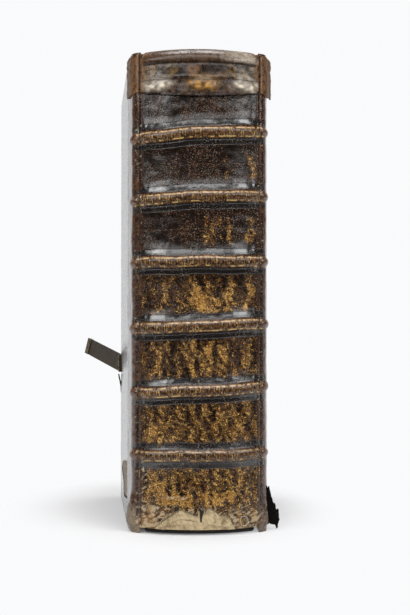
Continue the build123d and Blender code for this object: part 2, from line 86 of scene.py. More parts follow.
class Value:
    """A node's output that takes part in sums; each sum adds a node to the output's graph."""

    def __init__(self, graph: "Graph", socket: bpy.types.NodeSocket) -> None:
        """Hold a socket and its graph."""
        self.graph = graph
        self.socket = socket

    def __add__(self, other: "Feed") -> "Value":
        """The sum of two values."""
        return self.graph.math("ADD", self, other)

    def __sub__(self, other: "Feed") -> "Value":
        """The difference of two values."""
        return self.graph.math("SUBTRACT", self, other)

    def __mul__(self, other: "Feed") -> "Value":
        """The product of two values."""
        return self.graph.math("MULTIPLY", self, other)

    def __or__(self, other: "Feed") -> "Value":
        """The larger of two values, which joins two masks."""
        return self.graph.math("MAXIMUM", self, other)

    def __abs__(self) -> "Value":
        """The value without its sign."""
        return self.graph.math("ABSOLUTE", self)

    def step(self, low: "Feed", high: "Feed", first: float = 0.0, last: float = 1.0) -> "Value":
        """A smooth step between two limits.

        Args:
            low: Where the step starts.
            high: Where it ends.
            first: The result at its start.
            last: The result at its end.

        Returns:
            The stepped value.
        """
        inputs = dict(enumerate((self, low, high, first, last)))
        return self.graph.out("ShaderNodeMapRange", inputs, interpolation_type="SMOOTHSTEP")

    def ridge(self, centre: float, half: float) -> "Value":
        """A soft mask round one value, 1 at the centre and 0 beyond half."""
        return abs(self - centre).step(0.0, half, 1.0, 0.0)


Feed = Value | bpy.types.NodeSocket | float | tuple


class Graph:
    """A node tree, with short calls for the nodes that the finishes use."""

    def __init__(self, tree: bpy.types.NodeTree) -> None:
        """Wrap a tree."""
        self.tree = tree

    def feed(self, socket: bpy.types.NodeSocket, value: Feed) -> None:
        """Link a socket, or set it where the value is plain."""
        if isinstance(value, Value):
            value = value.socket
        if isinstance(value, bpy.types.NodeSocket):
            self.tree.links.new(value, socket)
        else:
            socket.default_value = value

    def add(self, kind: str, inputs: dict[str | int, Feed] | None = None, **settings: object) -> bpy.types.Node:
        """Add a node.

        Args:
            kind: The node's type name.
            inputs: What its sockets get, by name or number.
            settings: The node's own properties.

        Returns:
            The node.
        """
        node = self.tree.nodes.new(kind)
        for name, value in settings.items():
            setattr(node, name, value)
        for name, value in (inputs or {}).items():
            self.feed(node.inputs[name], value)
        return node

    def out(
        self, kind: str, inputs: dict[str | int, Feed] | None = None, output: str | int = 0, **settings: object
    ) -> Value:
        """One output of a new node, by name or number."""
        return Value(self, self.add(kind, inputs, **settings).outputs[output])

    def math(self, operation: str, *values: Feed) -> Value:
        """One sum on one or two values."""
        return self.out("ShaderNodeMath", dict(enumerate(values)), operation=operation)

    def mix(self, factor: Feed, first: Feed, second: Feed) -> Value:
        """A mix of two colours."""
        return self.out("ShaderNodeMix", {0: factor, 6: first, 7: second}, 2, data_type="RGBA")

    def blend(self, factor: Feed, first: Feed, second: Feed) -> Value:
        """A mix of two plain values."""
        return self.out("ShaderNodeMix", {0: factor, 2: first, 3: second}, data_type="FLOAT")

    def noise(self, vector: Feed, scale: Feed, detail: float = 2.0, rough: float = 0.55) -> Value:
        """Cloudy noise from 0 to 1."""
        inputs = {"Vector": vector, "Scale": scale, "Detail": detail, "Roughness": rough}
        return self.out("ShaderNodeTexNoise", inputs)

    def cells(self, vector: Feed, scale: Feed, feature: str = "F1") -> Value:
        """The distance in cell noise."""
        return self.out("ShaderNodeTexVoronoi", {"Vector": vector, "Scale": scale}, "Distance", feature=feature)

    def vector(self, operation: str, first: Feed, second: Feed) -> Value:
        """One sum on two vectors."""
        return self.out("ShaderNodeVectorMath", {0: first, 1: second}, operation=operation)

    def stretch(self, vector: Feed, by: tuple[float, float, float]) -> Value:
        """A vector times a factor for each axis."""
        return self.vector("MULTIPLY", vector, by)

    def turned(self, vector: Feed, degrees: tuple[float, float, float]) -> Value:
        """A vector turned about the axes."""
        angles = tuple(math.radians(angle) for angle in degrees)
        return self.out("ShaderNodeMapping", {"Vector": vector, "Rotation": angles})

    def warped(self, vector: Feed, scale: float, amount: float) -> Value:
        """A vector pushed about by noise."""
        push = self.out("ShaderNodeTexNoise", {"Vector": vector, "Scale": scale, "Detail": 2.0}, "Color")
        centred = self.vector("SUBTRACT", push, (0.5, 0.5, 0.5))
        return self.vector("ADD", vector, self.stretch(centred, (amount, amount, amount)))

    def attribute(self, name: str) -> Value:
        """A value that the mesh carries."""
        return self.out("ShaderNodeAttribute", output="Fac", attribute_name=name)

    def millimetres(self) -> Value:
        """The place on the object, in millimetres."""
        return self.stretch(self.out("ShaderNodeTexCoord", output="Object"), (1000.0, 1000.0, 1000.0))

    def axes(self, vector: Feed) -> tuple[Value, ...]:
        """The three parts of a vector."""
        return tuple(Value(self, socket) for socket in self.add("ShaderNodeSeparateXYZ", {0: vector}).outputs)

    def bump(self, height: Feed) -> Value:
        """A normal from a height in millimetres."""
        return self.out("ShaderNodeBump", {"Height": height, "Strength": 1.0, "Distance": MM})

    def effect(self, tree: bpy.types.NodeTree, **inputs: Feed) -> tuple[Value, ...]:
        """The outputs of a shared effect that is placed here, with its inputs by name."""
        return tuple(Value(self, socket) for socket in self.add("ShaderNodeGroup", inputs, node_tree=tree).outputs)


class Effects:
    """The shared effects, each a shader node group that is built once."""

    def __init__(self) -> None:
        """Build every group."""
        self.grain = self.build_grain()
        self.speckle = self.build_speckle()
        self.scratches = self.build_scratches()
        self.cracks = self.build_cracks()

    @staticmethod
    def open(
        name: str, defaults: dict[str, float], outputs: Sequence[str]
    ) -> tuple[Graph, list[Value], bpy.types.Node]:
        """Start a group.

        Args:
            name: The group's name.
            defaults: The plain inputs and their defaults, which follow the place.
            outputs: The names of the values that it puts out.

        Returns:
            Its graph, its inputs and its output node.
        """
        tree = bpy.data.node_groups.new(name, "ShaderNodeTree")
        tree.interface.new_socket("Vector", in_out="INPUT", socket_type="NodeSocketVector")
        for label, default in defaults.items():
            tree.interface.new_socket(label, in_out="INPUT", socket_type="NodeSocketFloat").default_value = default
        for label in outputs:
            tree.interface.new_socket(label, in_out="OUTPUT", socket_type="NodeSocketFloat")
        graph = Graph(tree)
        entry = graph.add("NodeGroupInput")
        got = [Value(graph, entry.outputs[label]) for label in ("Vector", *defaults)]
        return graph, got, graph.add("NodeGroupOutput")

    def build_grain(self) -> bpy.types.NodeTree:
        """Calf grain: small pillows with fine pores on them."""
        graph, (place, scale), leave = self.open("leather grain", {"Scale": 1.0}, ("Height",))
        pillow = graph.cells(graph.warped(place, 0.9, 0.8), scale, "SMOOTH_F1")
        fine = graph.noise(place, scale * 3.1, 3.0, 0.6)
        graph.feed(leave.inputs["Height"], fine * 0.55 - pillow * 0.8)
        return graph.tree

    def build_speckle(self) -> bpy.types.NodeTree:
        """What is left of gold leaf: grains and crumbs that follow an amount."""
        defaults = {"Amount": 0.5, "Scale": 0.8}
        graph, (place, amount, scale), leave = self.open("worn gilding", defaults, ("Mask", "Crumbs"))
        coarse = graph.noise(place, scale, 3.0, 0.65)
        fine = graph.noise(place, scale * 3.7, 2.0, 0.6)
        mixed = coarse * 0.68 + fine * 0.32
        edge = amount.step(0.0, 1.0, 0.66, 0.36)
        graph.feed(leave.inputs["Mask"], mixed.step(edge, edge + 0.07) * amount.step(0.0, 0.06))
        graph.feed(leave.inputs["Crumbs"], mixed)
        return graph.tree

    def build_scratches(self) -> bpy.types.NodeTree:
        """Fine long scratches in two directions."""
        graph, (place, amount), leave = self.open("scratches", {"Amount": 0.5}, ("Mask",))
        marks = []
        for turn, size in (((12.0, 24.0, 8.0), 0.22), ((-35.0, 10.0, 66.0), 0.17)):
            slant = graph.turned(place, turn)
            long = graph.warped(graph.stretch(slant, (1.0, 0.12, 0.07)), 0.4, 0.25)
            thin = graph.cells(long, size, "DISTANCE_TO_EDGE").step(0.0, 0.035, 1.0, 0.0)
            marks.append(thin * graph.noise(slant, 0.11, 2.0).step(0.52, 0.66))
        graph.feed(leave.inputs["Mask"], (marks[0] | marks[1]) * amount)
        return graph.tree

    def build_cracks(self) -> bpy.types.NodeTree:
        """A net of dry cracks."""
        graph, (place, scale, amount), leave = self.open("dry cracks", {"Scale": 0.2, "Amount": 0.5}, ("Mask",))
        loose = graph.warped(graph.warped(place, 0.35, 2.4), 1.3, 0.7)
        thin = graph.cells(loose, scale, "DISTANCE_TO_EDGE").step(0.005, 0.05, 1.0, 0.0)
        patchy = graph.noise(place, 0.08, 2.0).step(0.42, 0.62)
        graph.feed(leave.inputs["Mask"], thin * patchy * amount)
        return graph.tree


def new_material(name: str) -> tuple[bpy.types.Material, Graph, bpy.types.Node]:
    """A material with its Principled shader.

    Args:
        name: The material's name.

    Returns:
        The material, its graph and its shader node.
    """
    material = bpy.data.materials.new(name)
    material.use_nodes = True
    shader = next(node for node in material.node_tree.nodes if node.type == "BSDF_PRINCIPLED")
    return material, Graph(material.node_tree), shader


@dataclass(frozen=True)
class Finish:
    """A material on one Principled shader, which every kind of finish paints in its own way."""

    name: str

    def paint(self, g: Graph, effects: Effects) -> dict[str, Feed]:
        """Add the nodes.

        Args:
            g: The material's graph.
            effects: The shared groups.

        Returns:
            What the shader's sockets get, by name.
        """
        raise NotImplementedError

    def make(self, effects: Effects) -> bpy.types.Material:
        """Build the material with the shared groups."""
        material, graph, shader = new_material(self.name)
        for socket, value in self.paint(graph, effects).items():
            graph.feed(shader.inputs[socket], value)
        return material


@dataclass(frozen=True)
class SpineFinish(Finish):
    """Dark calf over the bands, with blind lines, gilding and rubbing."""

    name: str = "spine_calf"
    dark: Colour = rgb(0.0060, 0.0031, 0.0020)
    brown: Colour = rgb(0.038, 0.0140, 0.0050)
    burnished: Colour = rgb(0.0085, 0.0066, 0.0062)
    red: Colour = rgb(0.075, 0.026, 0.0095)
    gold: Colour = rgb(1.0, 0.66, 0.19)
    dull_gold: Colour = rgb(0.30, 0.135, 0.026)
    amber: Colour = rgb(0.105, 0.039, 0.0062)
    # colour of the rubbed upper flank of each band, partly rubbed gilt and partly a painted highlight
    crest_rub_highlight: Colour = rgb(0.70, 0.47, 0.26)
    band_dark: Colour = rgb(0.016, 0.0072, 0.0036)
    band_brown: Colour = rgb(0.170, 0.071, 0.0180)
    flesh: Colour = rgb(0.44, 0.34, 0.205)
    # colour of the pale specks: partly dust, partly painted sparkle of lit grain
    dusty_sparkle: Colour = rgb(0.47, 0.40, 0.31)
    hatch_pitch: float = 2.1

    def paint(self, g: Graph, effects: Effects) -> dict[str, Feed]:
        """Calf and gilding, then the bands with a painted highlight along their upper flanks, then the bare tail,
        the wear, pale specks that are partly painted sparkle and painted shade in the joint's fold.
        """
        place = g.millimetres()
        up = g.axes(place)[2]
        band, arc, gilt, worn, margin, fold = map(g.attribute, ("band", "arc", "gilt", "worn", "margin", "fold"))
        reach = abs(band)
        on_band = reach.step(4.5, 5.7, 1.0, 0.0)
        beside = reach.step(5.3, 6.1) * reach.step(9.0, 11.6, 1.0, 0.0)
        cloud = g.noise(place, 0.07, 3.0)
        mottle = g.noise(place, 0.42, 4.0, 0.62)
        fine = g.noise(place, 1.9, 3.0, 0.6)
        (grain,) = g.effect(effects.grain, Vector=place, Scale=0.95)
        leaf, crumbs = g.effect(effects.speckle, Vector=place, Amount=gilt, Scale=1.0)
        stain, _ = g.effect(effects.speckle, Vector=place, Amount=gilt * 1.1 + 0.16, Scale=0.62)
        (crack,) = g.effect(effects.cracks, Vector=place, Scale=0.13, Amount=worn.step(0.0, 0.6))
        (scratch,) = g.effect(effects.scratches, Vector=place, Amount=worn.step(0.05, 0.5, 0.08, 0.9))

        colour = g.mix((mottle * 0.6 + cloud * 0.4).step(0.44, 0.66), self.dark, self.brown)
        colour = g.mix(margin * 0.8, colour, g.mix(fine.step(0.35, 0.7), self.brown, self.red))
        colour = g.mix(stain * gilt.step(0.06, 0.22) * 0.75, colour, self.amber)
        colour = g.mix(beside * 0.92, colour, self.burnished)
        leaf = leaf * beside.step(0.0, 0.8, 1.0, 0.2)
        colour = g.mix(leaf, colour, g.mix(crumbs.step(0.50, 0.64), self.dull_gold, self.gold))

        wave = g.math("SINE", (arc + mottle * 4.5) * (2 * math.pi / self.hatch_pitch))
        ticks = wave.step(0.2, 0.8) * g.noise(place, 0.3, 3.0).step(0.48, 0.62)
        ticks = ticks * abs(band + 0.8).step(2.6, 3.8, 1.0, 0.0)
        strokes = wave.step(0.1, -0.7) * g.noise(place, 0.24, 3.0).step(0.36, 0.52)
        # rub: rubbed gilt on each band's upper flank, partly a painted highlight of the light that falls on it
        rub = band.ridge(3.0, 1.25) * g.noise(place, 0.33, 3.0).step(0.34, 0.6) * up.step(80.0, 110.0, 0.6, 0.9)
        foot = band.ridge(-4.0, 0.9) * g.noise(place, 0.2, 3.0).step(0.48, 0.62)
        raised = g.mix((mottle * 0.6 + fine * 0.4).step(0.43, 0.62), self.band_dark, self.band_brown)
        for mask, over in (
            (strokes * 0.65, self.band_dark), (ticks * 0.3, self.gold), (rub, self.crest_rub_highlight), (foot * 0.5, self.gold),
        ):
            raised = g.mix(mask, raised, over)
        colour = g.mix(on_band, colour, raised)

        drag = g.noise(g.stretch(g.turned(place, (0.0, 24.0, 0.0)), (0.17, 0.17, 0.4)), 1.0, 4.0, 0.65)
        bare = (worn + (drag - 0.5) * 2.0).step(0.42, 0.72)
        rags = g.mix(drag.step(0.44, 0.58), g.mix(fine.step(0.35, 0.65), self.red, self.dull_gold), self.flesh)
        # pale specks, partly dust and partly painted sparkle of lit grain
        dust = g.cells(place, 0.75).step(0.06, 0.34, 1.0, 0.0) * cloud.step(0.38, 0.54)
        for mask, over in (
            (bare * 0.9, rags), (dust * gilt.step(0.2, 0.4, 0.45, 0.2), self.dusty_sparkle), (scratch * 0.4, self.flesh),
            # the fold mark is painted shade in the joint's crease
            (crack * 0.8, self.dark), (fold.step(0.3, 0.9) * 0.5, self.dark),
        ):
            colour = g.mix(mask, colour, over)

        rough = g.blend(beside, mottle.step(0.3, 0.7, 0.16, 0.25), 0.17)
        rough = rough + up.step(290.0, 150.0, 0.0, 0.04) + cloud.step(0.4, 0.65, 0.0, 0.04)
        lines = reach.ridge(6.5, 0.5) + reach.ridge(10.4, 0.55)
        height = grain * g.blend(beside, 0.1, 0.035) + mottle * 0.1 + leaf * 0.03 + lines * -0.22
        return {
            "Base Color": colour,
            "Roughness": g.blend(bare, g.blend(on_band, rough, 0.26), 0.75),
            "Metallic": leaf * on_band.step(0.0, 1.0, 0.35, 0.0),
            "Coat Weight": bare.step(0.0, 0.8, 1.0, 0.0) * g.blend(beside, 0.1, 0.95),
            "Coat Roughness": 0.18,
            "Normal": g.bump(height + ticks * on_band * 0.16 + crack * -0.3 + scratch * -0.06),
        }


@dataclass(frozen=True)
class PatchFinish(Finish):
    """The repair leather at the head: brown, dented and partly olive with old varnish."""

    roughness: tuple[float, float]
    gloss: float
    dark: Colour = rgb(0.015, 0.0080, 0.0046)
    brown: Colour = rgb(0.078, 0.040, 0.0185)
    orange: Colour = rgb(0.170, 0.074, 0.020)
    olive: Colour = rgb(0.19, 0.110, 0.022)
    # the gold and pale colours below are painted highlights on the dents; pale also paints the highlight on the
    # roll and small pale flecks
    golden_highlight: Colour = rgb(0.46, 0.235, 0.050)
    pale: Colour = rgb(0.66, 0.58, 0.46)

    def paint(self, g: Graph, effects: Effects) -> dict[str, Feed]:
        """Brown leather, then the varnished strip, a painted highlight on the roll, the shoulders, painted
        highlights on the dents and painted shade in creases and folds and along the lower edge.
        """
        place = g.millimetres()
        across, depth, _ = g.axes(place)
        side, roll, strip, dent_highlight, fold = map(g.attribute, ("side", "roll", "strip", "dent_highlight", "fold"))
        cloud = g.noise(place, 0.075, 3.0)
        mottle = g.noise(place, 0.3, 4.0, 0.6)
        fine = g.noise(place, 1.9, 3.0)
        (grain,) = g.effect(effects.grain, Vector=place, Scale=0.8)
        (crack,) = g.effect(effects.cracks, Vector=place, Scale=0.13, Amount=0.8)
        varnish = strip * cloud.step(0.4, 0.56) * mottle.step(0.34, 0.58)
        # painted highlight: a pale glossy patch on the right of the roll, put into the base colour
        painted_sheen = roll * (across + mottle * 22.0).step(42.0, 74.0) * fine.step(0.3, 0.6, 0.5, 1.0)
        ruddy = g.mix((fine * 0.4 + mottle * 0.6).step(0.40, 0.58), self.brown, self.orange)
        ruddy = g.mix(mottle.step(0.42, 0.34), ruddy, self.dark)
        colour = g.mix(mottle.step(0.4, 0.66), self.dark, self.brown)
        for mask, over in (
            (roll * 0.6, self.brown),
            (strip * 0.85, self.dark),
            (varnish * 0.6, g.mix(side, self.orange, self.olive)),
            (painted_sheen * 0.5, self.pale),
            (depth.step(-173.0, -167.0) * 0.85, ruddy),
            # painted highlights: pale crescents and gold haze on the dents
            (dent_highlight * fine.step(0.2, 0.5, 0.55, 1.0), g.mix(side, self.golden_highlight, self.pale)),
            (g.noise(place, 0.8, 3.0).step(0.63, 0.74) * 0.2, self.pale),
            (crack * 0.7, self.dark),
            # painted shade in creases and folds and along the patch's lower edge
            (fold.step(0.2, 0.9) * 0.75, self.dark),
        ):
            colour = g.mix(mask, colour, over)
        return {
            "Base Color": colour,
            "Roughness": mottle.step(0.3, 0.7, *self.roughness),
            "Specular IOR Level": self.gloss,
            "Normal": g.bump(grain * 0.045 + mottle * 0.08 + crack * -0.2),
        }


@dataclass(frozen=True)
class CoverFinish(Finish):
    """Calf on the boards: a red-brown shoulder, blind frames, rubbed edges and scuffs."""

    name: str = "cover_calf"
    dark: Colour = rgb(0.0105, 0.0062, 0.0045)
    brown: Colour = rgb(0.050, 0.0215, 0.0100)
    red: Colour = rgb(0.125, 0.050, 0.0185)
    rubbed: Colour = rgb(0.22, 0.135, 0.072)
    grey: Colour = rgb(0.36, 0.295, 0.205)
    frames: tuple[float, ...] = (12.0, 14.2, 40.0, 42.2, 64.0)

    def tooling(self, inset: Value, shoulder: Value, y: Value, z: Value) -> Value:
        """The blind frames, the beaded roll between them and the lattice in the middle.

        Args:
            inset: The distance from the board's edge.
            shoulder: Where the leather turns to the spine.
            y: The place along the board.
            z: The place up the board.

        Returns:
            The mask of all tooled lines.
        """
        sine = y.graph.math
        lines = inset.ridge(self.frames[0], 0.6)
        for at in self.frames[1:]:
            lines = lines | inset.ridge(at, 0.6)
        lines = lines * shoulder.step(0.0, 0.3, 1.0, 0.0)
        rising, falling = (abs(sine("SINE", way * 0.12)).step(0.0, 0.13, 1.0, 0.0) for way in (y + z, y - z))
        lattice = (rising | falling) * inset.step(63.5, 64.5)
        beads = sine("SINE", y * 0.7) * sine("SINE", z * 0.7)
        roll = inset.ridge(27.0, 11.5) * beads.step(0.15, 0.5)
        return lines | (roll * 0.7 | lattice * 0.9)

    def paint(self, g: Graph, effects: Effects) -> dict[str, Feed]:
        """Mottled calf, then the shoulder with its slips, the tooling and the wear."""
        place = g.millimetres()
        _, y, z = g.axes(place)
        inset, shoulder, band, worn = map(g.attribute, ("inset", "shoulder", "band", "worn"))
        reach = abs(band)
        slip = reach.step(3.4, 5.0, 1.0, 0.0) * shoulder
        beside = reach.step(4.6, 5.6) * reach.step(8.0, 11.0, 1.0, 0.0) * shoulder
        cloud = g.noise(place, 0.03, 3.0)
        mottle = g.noise(place, 0.36, 4.0, 0.62)
        fine = g.noise(place, 1.8, 3.0)
        (grain,) = g.effect(effects.grain, Vector=place, Scale=0.9)
        (crack,) = g.effect(effects.cracks, Vector=place, Scale=0.1, Amount=0.6)
        (scratch,) = g.effect(effects.scratches, Vector=place, Amount=1.0)
        ruddy = g.mix((fine * 0.5 + mottle * 0.5).step(0.4, 0.62), self.brown, self.red)
        rub = band.ridge(1.6, 2.0) * shoulder * g.noise(place, 0.4, 3.0).step(0.38, 0.6)
        tooled = self.tooling(inset, shoulder, y, z)
        rim = (inset + mottle * 9.0).step(2.6, 8.6, 1.0, 0.0)
        bare = (worn + (mottle - 0.5) * 1.1).step(0.4, 0.75)
        colour = g.mix((mottle * 0.55 + cloud * 0.45).step(0.42, 0.66), self.dark, self.brown)
        for mask, over in (
            (shoulder * 0.7, ruddy),
            (beside * 0.7, self.dark),
            (slip * 0.6, g.mix(mottle.step(0.4, 0.6), self.brown, self.red)),
            (rub * 0.6, self.rubbed),
            (tooled * 0.65, self.dark),
            (rim * 0.6 * shoulder.step(0.0, 0.5, 1.0, 0.3), self.rubbed),
            (scratch * 0.4 * shoulder.step(0.0, 0.5, 1.0, 0.2), self.rubbed),
            (bare * 0.85, g.mix(fine.step(0.3, 0.7), self.brown, self.grey)),
            (crack * 0.7, self.dark),
        ):
            colour = g.mix(mask, colour, over)
        rough = g.blend(rim, mottle.step(0.3, 0.7, 0.22, 0.34), 0.45)
        return {
            "Base Color": colour,
            "Roughness": g.blend(bare, rough, 0.75),
            "Coat Weight": bare.step(0.0, 0.8, 1.0, 0.0) * 0.5,
            "Coat Roughness": 0.12,
            "Normal": g.bump(grain * 0.04 + mottle * 0.06 + tooled * -0.22 + crack * -0.16 + scratch * -0.04),
        }


@dataclass(frozen=True)
class TornFinish(Finish):
    """Leather torn off its board: hard, with paler fibres along it."""

    dark: Colour
    light: Colour
    # colour of a painted shadow along the torn edge
    torn: Colour = rgb(0.010, 0.007, 0.005)

    def paint(self, g: Graph, effects: Effects) -> dict[str, Feed]:
        """Fibres on a mottled ground, with a painted shadow along the torn edge."""
        place = g.millimetres()
        mottle = g.noise(place, 0.45, 4.0, 0.65)
        fibre = g.noise(g.stretch(place, (0.8, 0.8, 2.4)), 1.0, 3.0)
        (grain,) = g.effect(effects.grain, Vector=place, Scale=0.9)
        colour = g.mix((mottle * 0.5 + fibre * 0.5).step(0.5, 0.68), self.dark, self.light)
        return {
            "Base Color": g.mix(g.attribute("edge").step(0.3, 0.8), colour, self.torn),
            "Roughness": mottle.step(0.3, 0.7, 0.42, 0.65),
            "Specular IOR Level": 0.04,
            "Normal": g.bump(grain * 0.1 + mottle * 0.25 + fibre * 0.15),
        }


@dataclass(frozen=True)
class PaperFinish(Finish):
    """Rag paper seen on its edges: leaf lines, foxing and dust."""

    light: Colour
    dark: Colour
    leaf_lines: float = 1.0

    def paint(self, g: Graph, effects: Effects) -> dict[str, Feed]:
        """Leaves and gatherings in lines, with foxing over them."""
        place = g.millimetres()
        leaves = g.noise(g.stretch(place, (2.6, 0.012, 0.012)), 1.0, 3.0, 0.7)
        gather = g.noise(g.stretch(place, (0.35, 0.006, 0.006)), 1.0, 2.0)
        foxing = g.noise(place, 0.06, 4.0, 0.65).step(0.52, 0.72)
        tone = (leaves * 0.6 + gather * 0.4).step(0.32, 0.68)
        colour = g.mix(tone * self.leaf_lines, self.light, self.dark)
        return {
            "Base Color": g.mix(foxing * 0.45, colour, self.dark),
            "Roughness": 0.85,
            "Normal": g.bump(leaves * (0.55 * self.leaf_lines) + g.noise(place, 1.8, 3.0) * 0.12),
        }


@dataclass(frozen=True)
class LiningFinish(Finish):
    """The bare lining at the tail: pale, fibrous and soiled."""

    name: str = "bare_lining"
    light: Colour = rgb(0.53, 0.42, 0.245)
    dark: Colour = rgb(0.23, 0.155, 0.078)
    # the slit's colour: painted shade in the slit, just below the folds and along the torn leather's edge
    painted_shade: Colour = rgb(0.022, 0.013, 0.008)

    def paint(self, g: Graph, effects: Effects) -> dict[str, Feed]:
        """Soil and fibres, with cracks, and painted shade in the slit, just below the folds and along the torn
        leather's edge.
        """
        place = g.millimetres()
        soil = g.noise(place, 0.16, 4.0, 0.65)
        fibre = g.noise(g.stretch(g.turned(place, (0.0, 35.0, 0.0)), (1.6, 0.5, 0.25)), 1.0, 3.0)
        (crack,) = g.effect(effects.cracks, Vector=place, Scale=0.12, Amount=0.9)
        colour = g.mix((soil * 0.6 + fibre * 0.4).step(0.42, 0.68), self.light, self.dark)
        colour = g.mix(crack * 0.8, colour, self.dark)
        return {
            "Base Color": g.mix(g.attribute("slit").step(0.25, 0.7), colour, self.painted_shade),
            "Roughness": 0.8,
            "Normal": g.bump(soil * 0.5 + fibre * 0.3 + crack * -0.3),
        }


@dataclass(frozen=True)
class StrapFinish(Finish):
    """Dry strap leather, greyed and creased across."""

    name: str = "strap_leather"
    dark: Colour = rgb(0.016, 0.011, 0.006)
    brown: Colour = rgb(0.052, 0.036, 0.017)
    edge: Colour = rgb(0.15, 0.115, 0.062)

    def paint(self, g: Graph, effects: Effects) -> dict[str, Feed]:
        """Mottled leather with creases and rubbed places."""
        place = g.millimetres()
        mottle = g.noise(place, 0.35, 4.0, 0.62)
        crease = g.noise(g.stretch(place, (0.05, 0.9, 0.05)), 1.0, 3.0, 0.6)
        (grain,) = g.effect(effects.grain, Vector=place, Scale=0.9)
        colour = g.mix((mottle * 0.6 + crease * 0.4).step(0.38, 0.64), self.dark, self.brown)
        return {
            "Base Color": g.mix(g.noise(place, 0.8, 3.0).step(0.56, 0.72) * 0.5, colour, self.edge),
            "Roughness": mottle.step(0.3, 0.7, 0.5, 0.7),
            "Specular IOR Level": 0.25,
            "Normal": g.bump(grain * 0.15 + crease * 0.5 + mottle * 0.2),
        }


@dataclass(frozen=True)
class WoodFinish(Finish):
    """Old beech under the leather."""

    name: str = "old_beech"
    light: Colour = rgb(0.30, 0.18, 0.09)
    dark: Colour = rgb(0.13, 0.07, 0.032)

    def paint(self, g: Graph, effects: Effects) -> dict[str, Feed]:
        """The wood's figure and its flecks, both along the board."""
        place = g.millimetres()
        figure = g.noise(g.stretch(place, (0.5, 0.5, 0.02)), 1.0, 4.0, 0.6)
        fleck = g.noise(g.stretch(place, (2.5, 2.5, 0.25)), 1.0, 2.0)
        return {
            "Base Color": g.mix((figure * 0.7 + fleck * 0.3).step(0.35, 0.68), self.light, self.dark),
            "Roughness": 0.7,
            "Normal": g.bump(figure * 0.2 + fleck * 0.12),
        }


@dataclass(frozen=True)
class BrassFinish(Finish):
    """Hand-cut brass with a brown-green tarnish that is rubbed bright in places."""

    name: str = "old_brass"
    bright: Colour = rgb(0.22, 0.165, 0.065)
    tarnish: Colour = rgb(0.050, 0.043, 0.020)

    def paint(self, g: Graph, effects: Effects) -> dict[str, Feed]:
        """Tarnish in clouds, with file marks and scratches."""
        place = g.millimetres()
        cloud = g.noise(place, 0.35, 4.0, 0.65)
        file_marks = g.noise(g.stretch(place, (3.0, 0.4, 3.0)), 1.0, 2.0)
        (scratch,) = g.effect(effects.scratches, Vector=g.stretch(place, (3.0, 3.0, 3.0)), Amount=1.0)
        tone = cloud.step(0.42, 0.66)
        colour = g.mix(tone, self.tarnish, self.bright)
        return {
            "Base Color": g.mix(scratch * 0.5, colour, self.bright),
            "Metallic": tone.step(0.0, 1.0, 0.75, 1.0),
            "Roughness": cloud.step(0.35, 0.7, 0.58, 0.36),
            "Normal": g.bump(cloud * 0.12 + file_marks * 0.05),
        }


@dataclass(frozen=True)
class ThreadFinish(Finish):
    """Twisted hemp or linen thread."""

    light: Colour
    dark: Colour

    def paint(self, g: Graph, effects: Effects) -> dict[str, Feed]:
        """Twisted ply and soil."""
        place = g.millimetres()
        ply = g.noise(g.stretch(g.turned(place, (0.0, 40.0, 20.0)), (3.0, 3.0, 0.7)), 1.0, 2.0)
        tone = (ply * 0.6 + g.noise(place, 0.2, 3.0) * 0.4).step(0.38, 0.64)
        return {
            "Base Color": g.mix(tone, self.light, self.dark), "Roughness": 0.9, "Normal": g.bump(ply * 0.3),
        }


def smooth(value: np.ndarray, low: float, high: float) -> np.ndarray:
    """A smooth step of an array between two limits."""
    share = np.clip((value - low) / (high - low), 0.0, 1.0)
    return share * share * (3.0 - 2.0 * share)


def bell(value: np.ndarray, half: float | np.ndarray) -> np.ndarray:
    """A bell-shaped mask round zero, 1 in its middle."""
    return np.exp(-((value / half) ** 2))


def nearer(first: np.ndarray, second: np.ndarray) -> np.ndarray:
    """Whichever of two signed distances is smaller, point by point; the second where they are equal."""
    return np.where(np.abs(first) < np.abs(second), first, second)


def thin(grid: np.ndarray) -> np.ndarray:
    """The points of a dense grid that its coarse inner face takes."""
    return grid[::COARSE, ::COARSE]


def evenly(line: np.ndarray, count: int) -> tuple[np.ndarray, np.ndarray]:
    """Points at even steps along a line.

    Args:
        line: The line's points.
        count: How many points come out.

    Returns:
        The points, and how far along the line each lies.
    """
    run = np.concatenate([[0.0], np.cumsum(np.linalg.norm(np.diff(line, axis=0), axis=1))])
    even = np.linspace(0.0, run[-1], count)
    return np.stack([np.interp(even, run, part) for part in line.T], -1), even


class Waves:
    """Smooth random relief as a sum of plane waves, the same in every run."""

    def __init__(self, seed: int, length: float, count: int = 14) -> None:
        """Draw the waves.

        Args:
            seed: The drawing's seed.
            length: The middle wavelength, in millimetres.
            count: How many waves are added up.
        """
        draw = np.random.default_rng(SEED + seed)
        turn = draw.uniform(0.0, 2 * math.pi, count)
        size = 2 * math.pi / (length * draw.uniform(0.6, 1.7, count))
        self.across = size * np.cos(turn)
        self.along = size * np.sin(turn)
        self.phase = draw.uniform(0.0, 2 * math.pi, count)

    def __call__(self, u: np.ndarray, v: np.ndarray) -> np.ndarray:
        """The relief at points, about -1 to 1."""
        angle = u[..., None] * self.across + v[..., None] * self.along + self.phase
        return np.sin(angle).sum(-1) / math.sqrt(2.0 * len(self.phase))


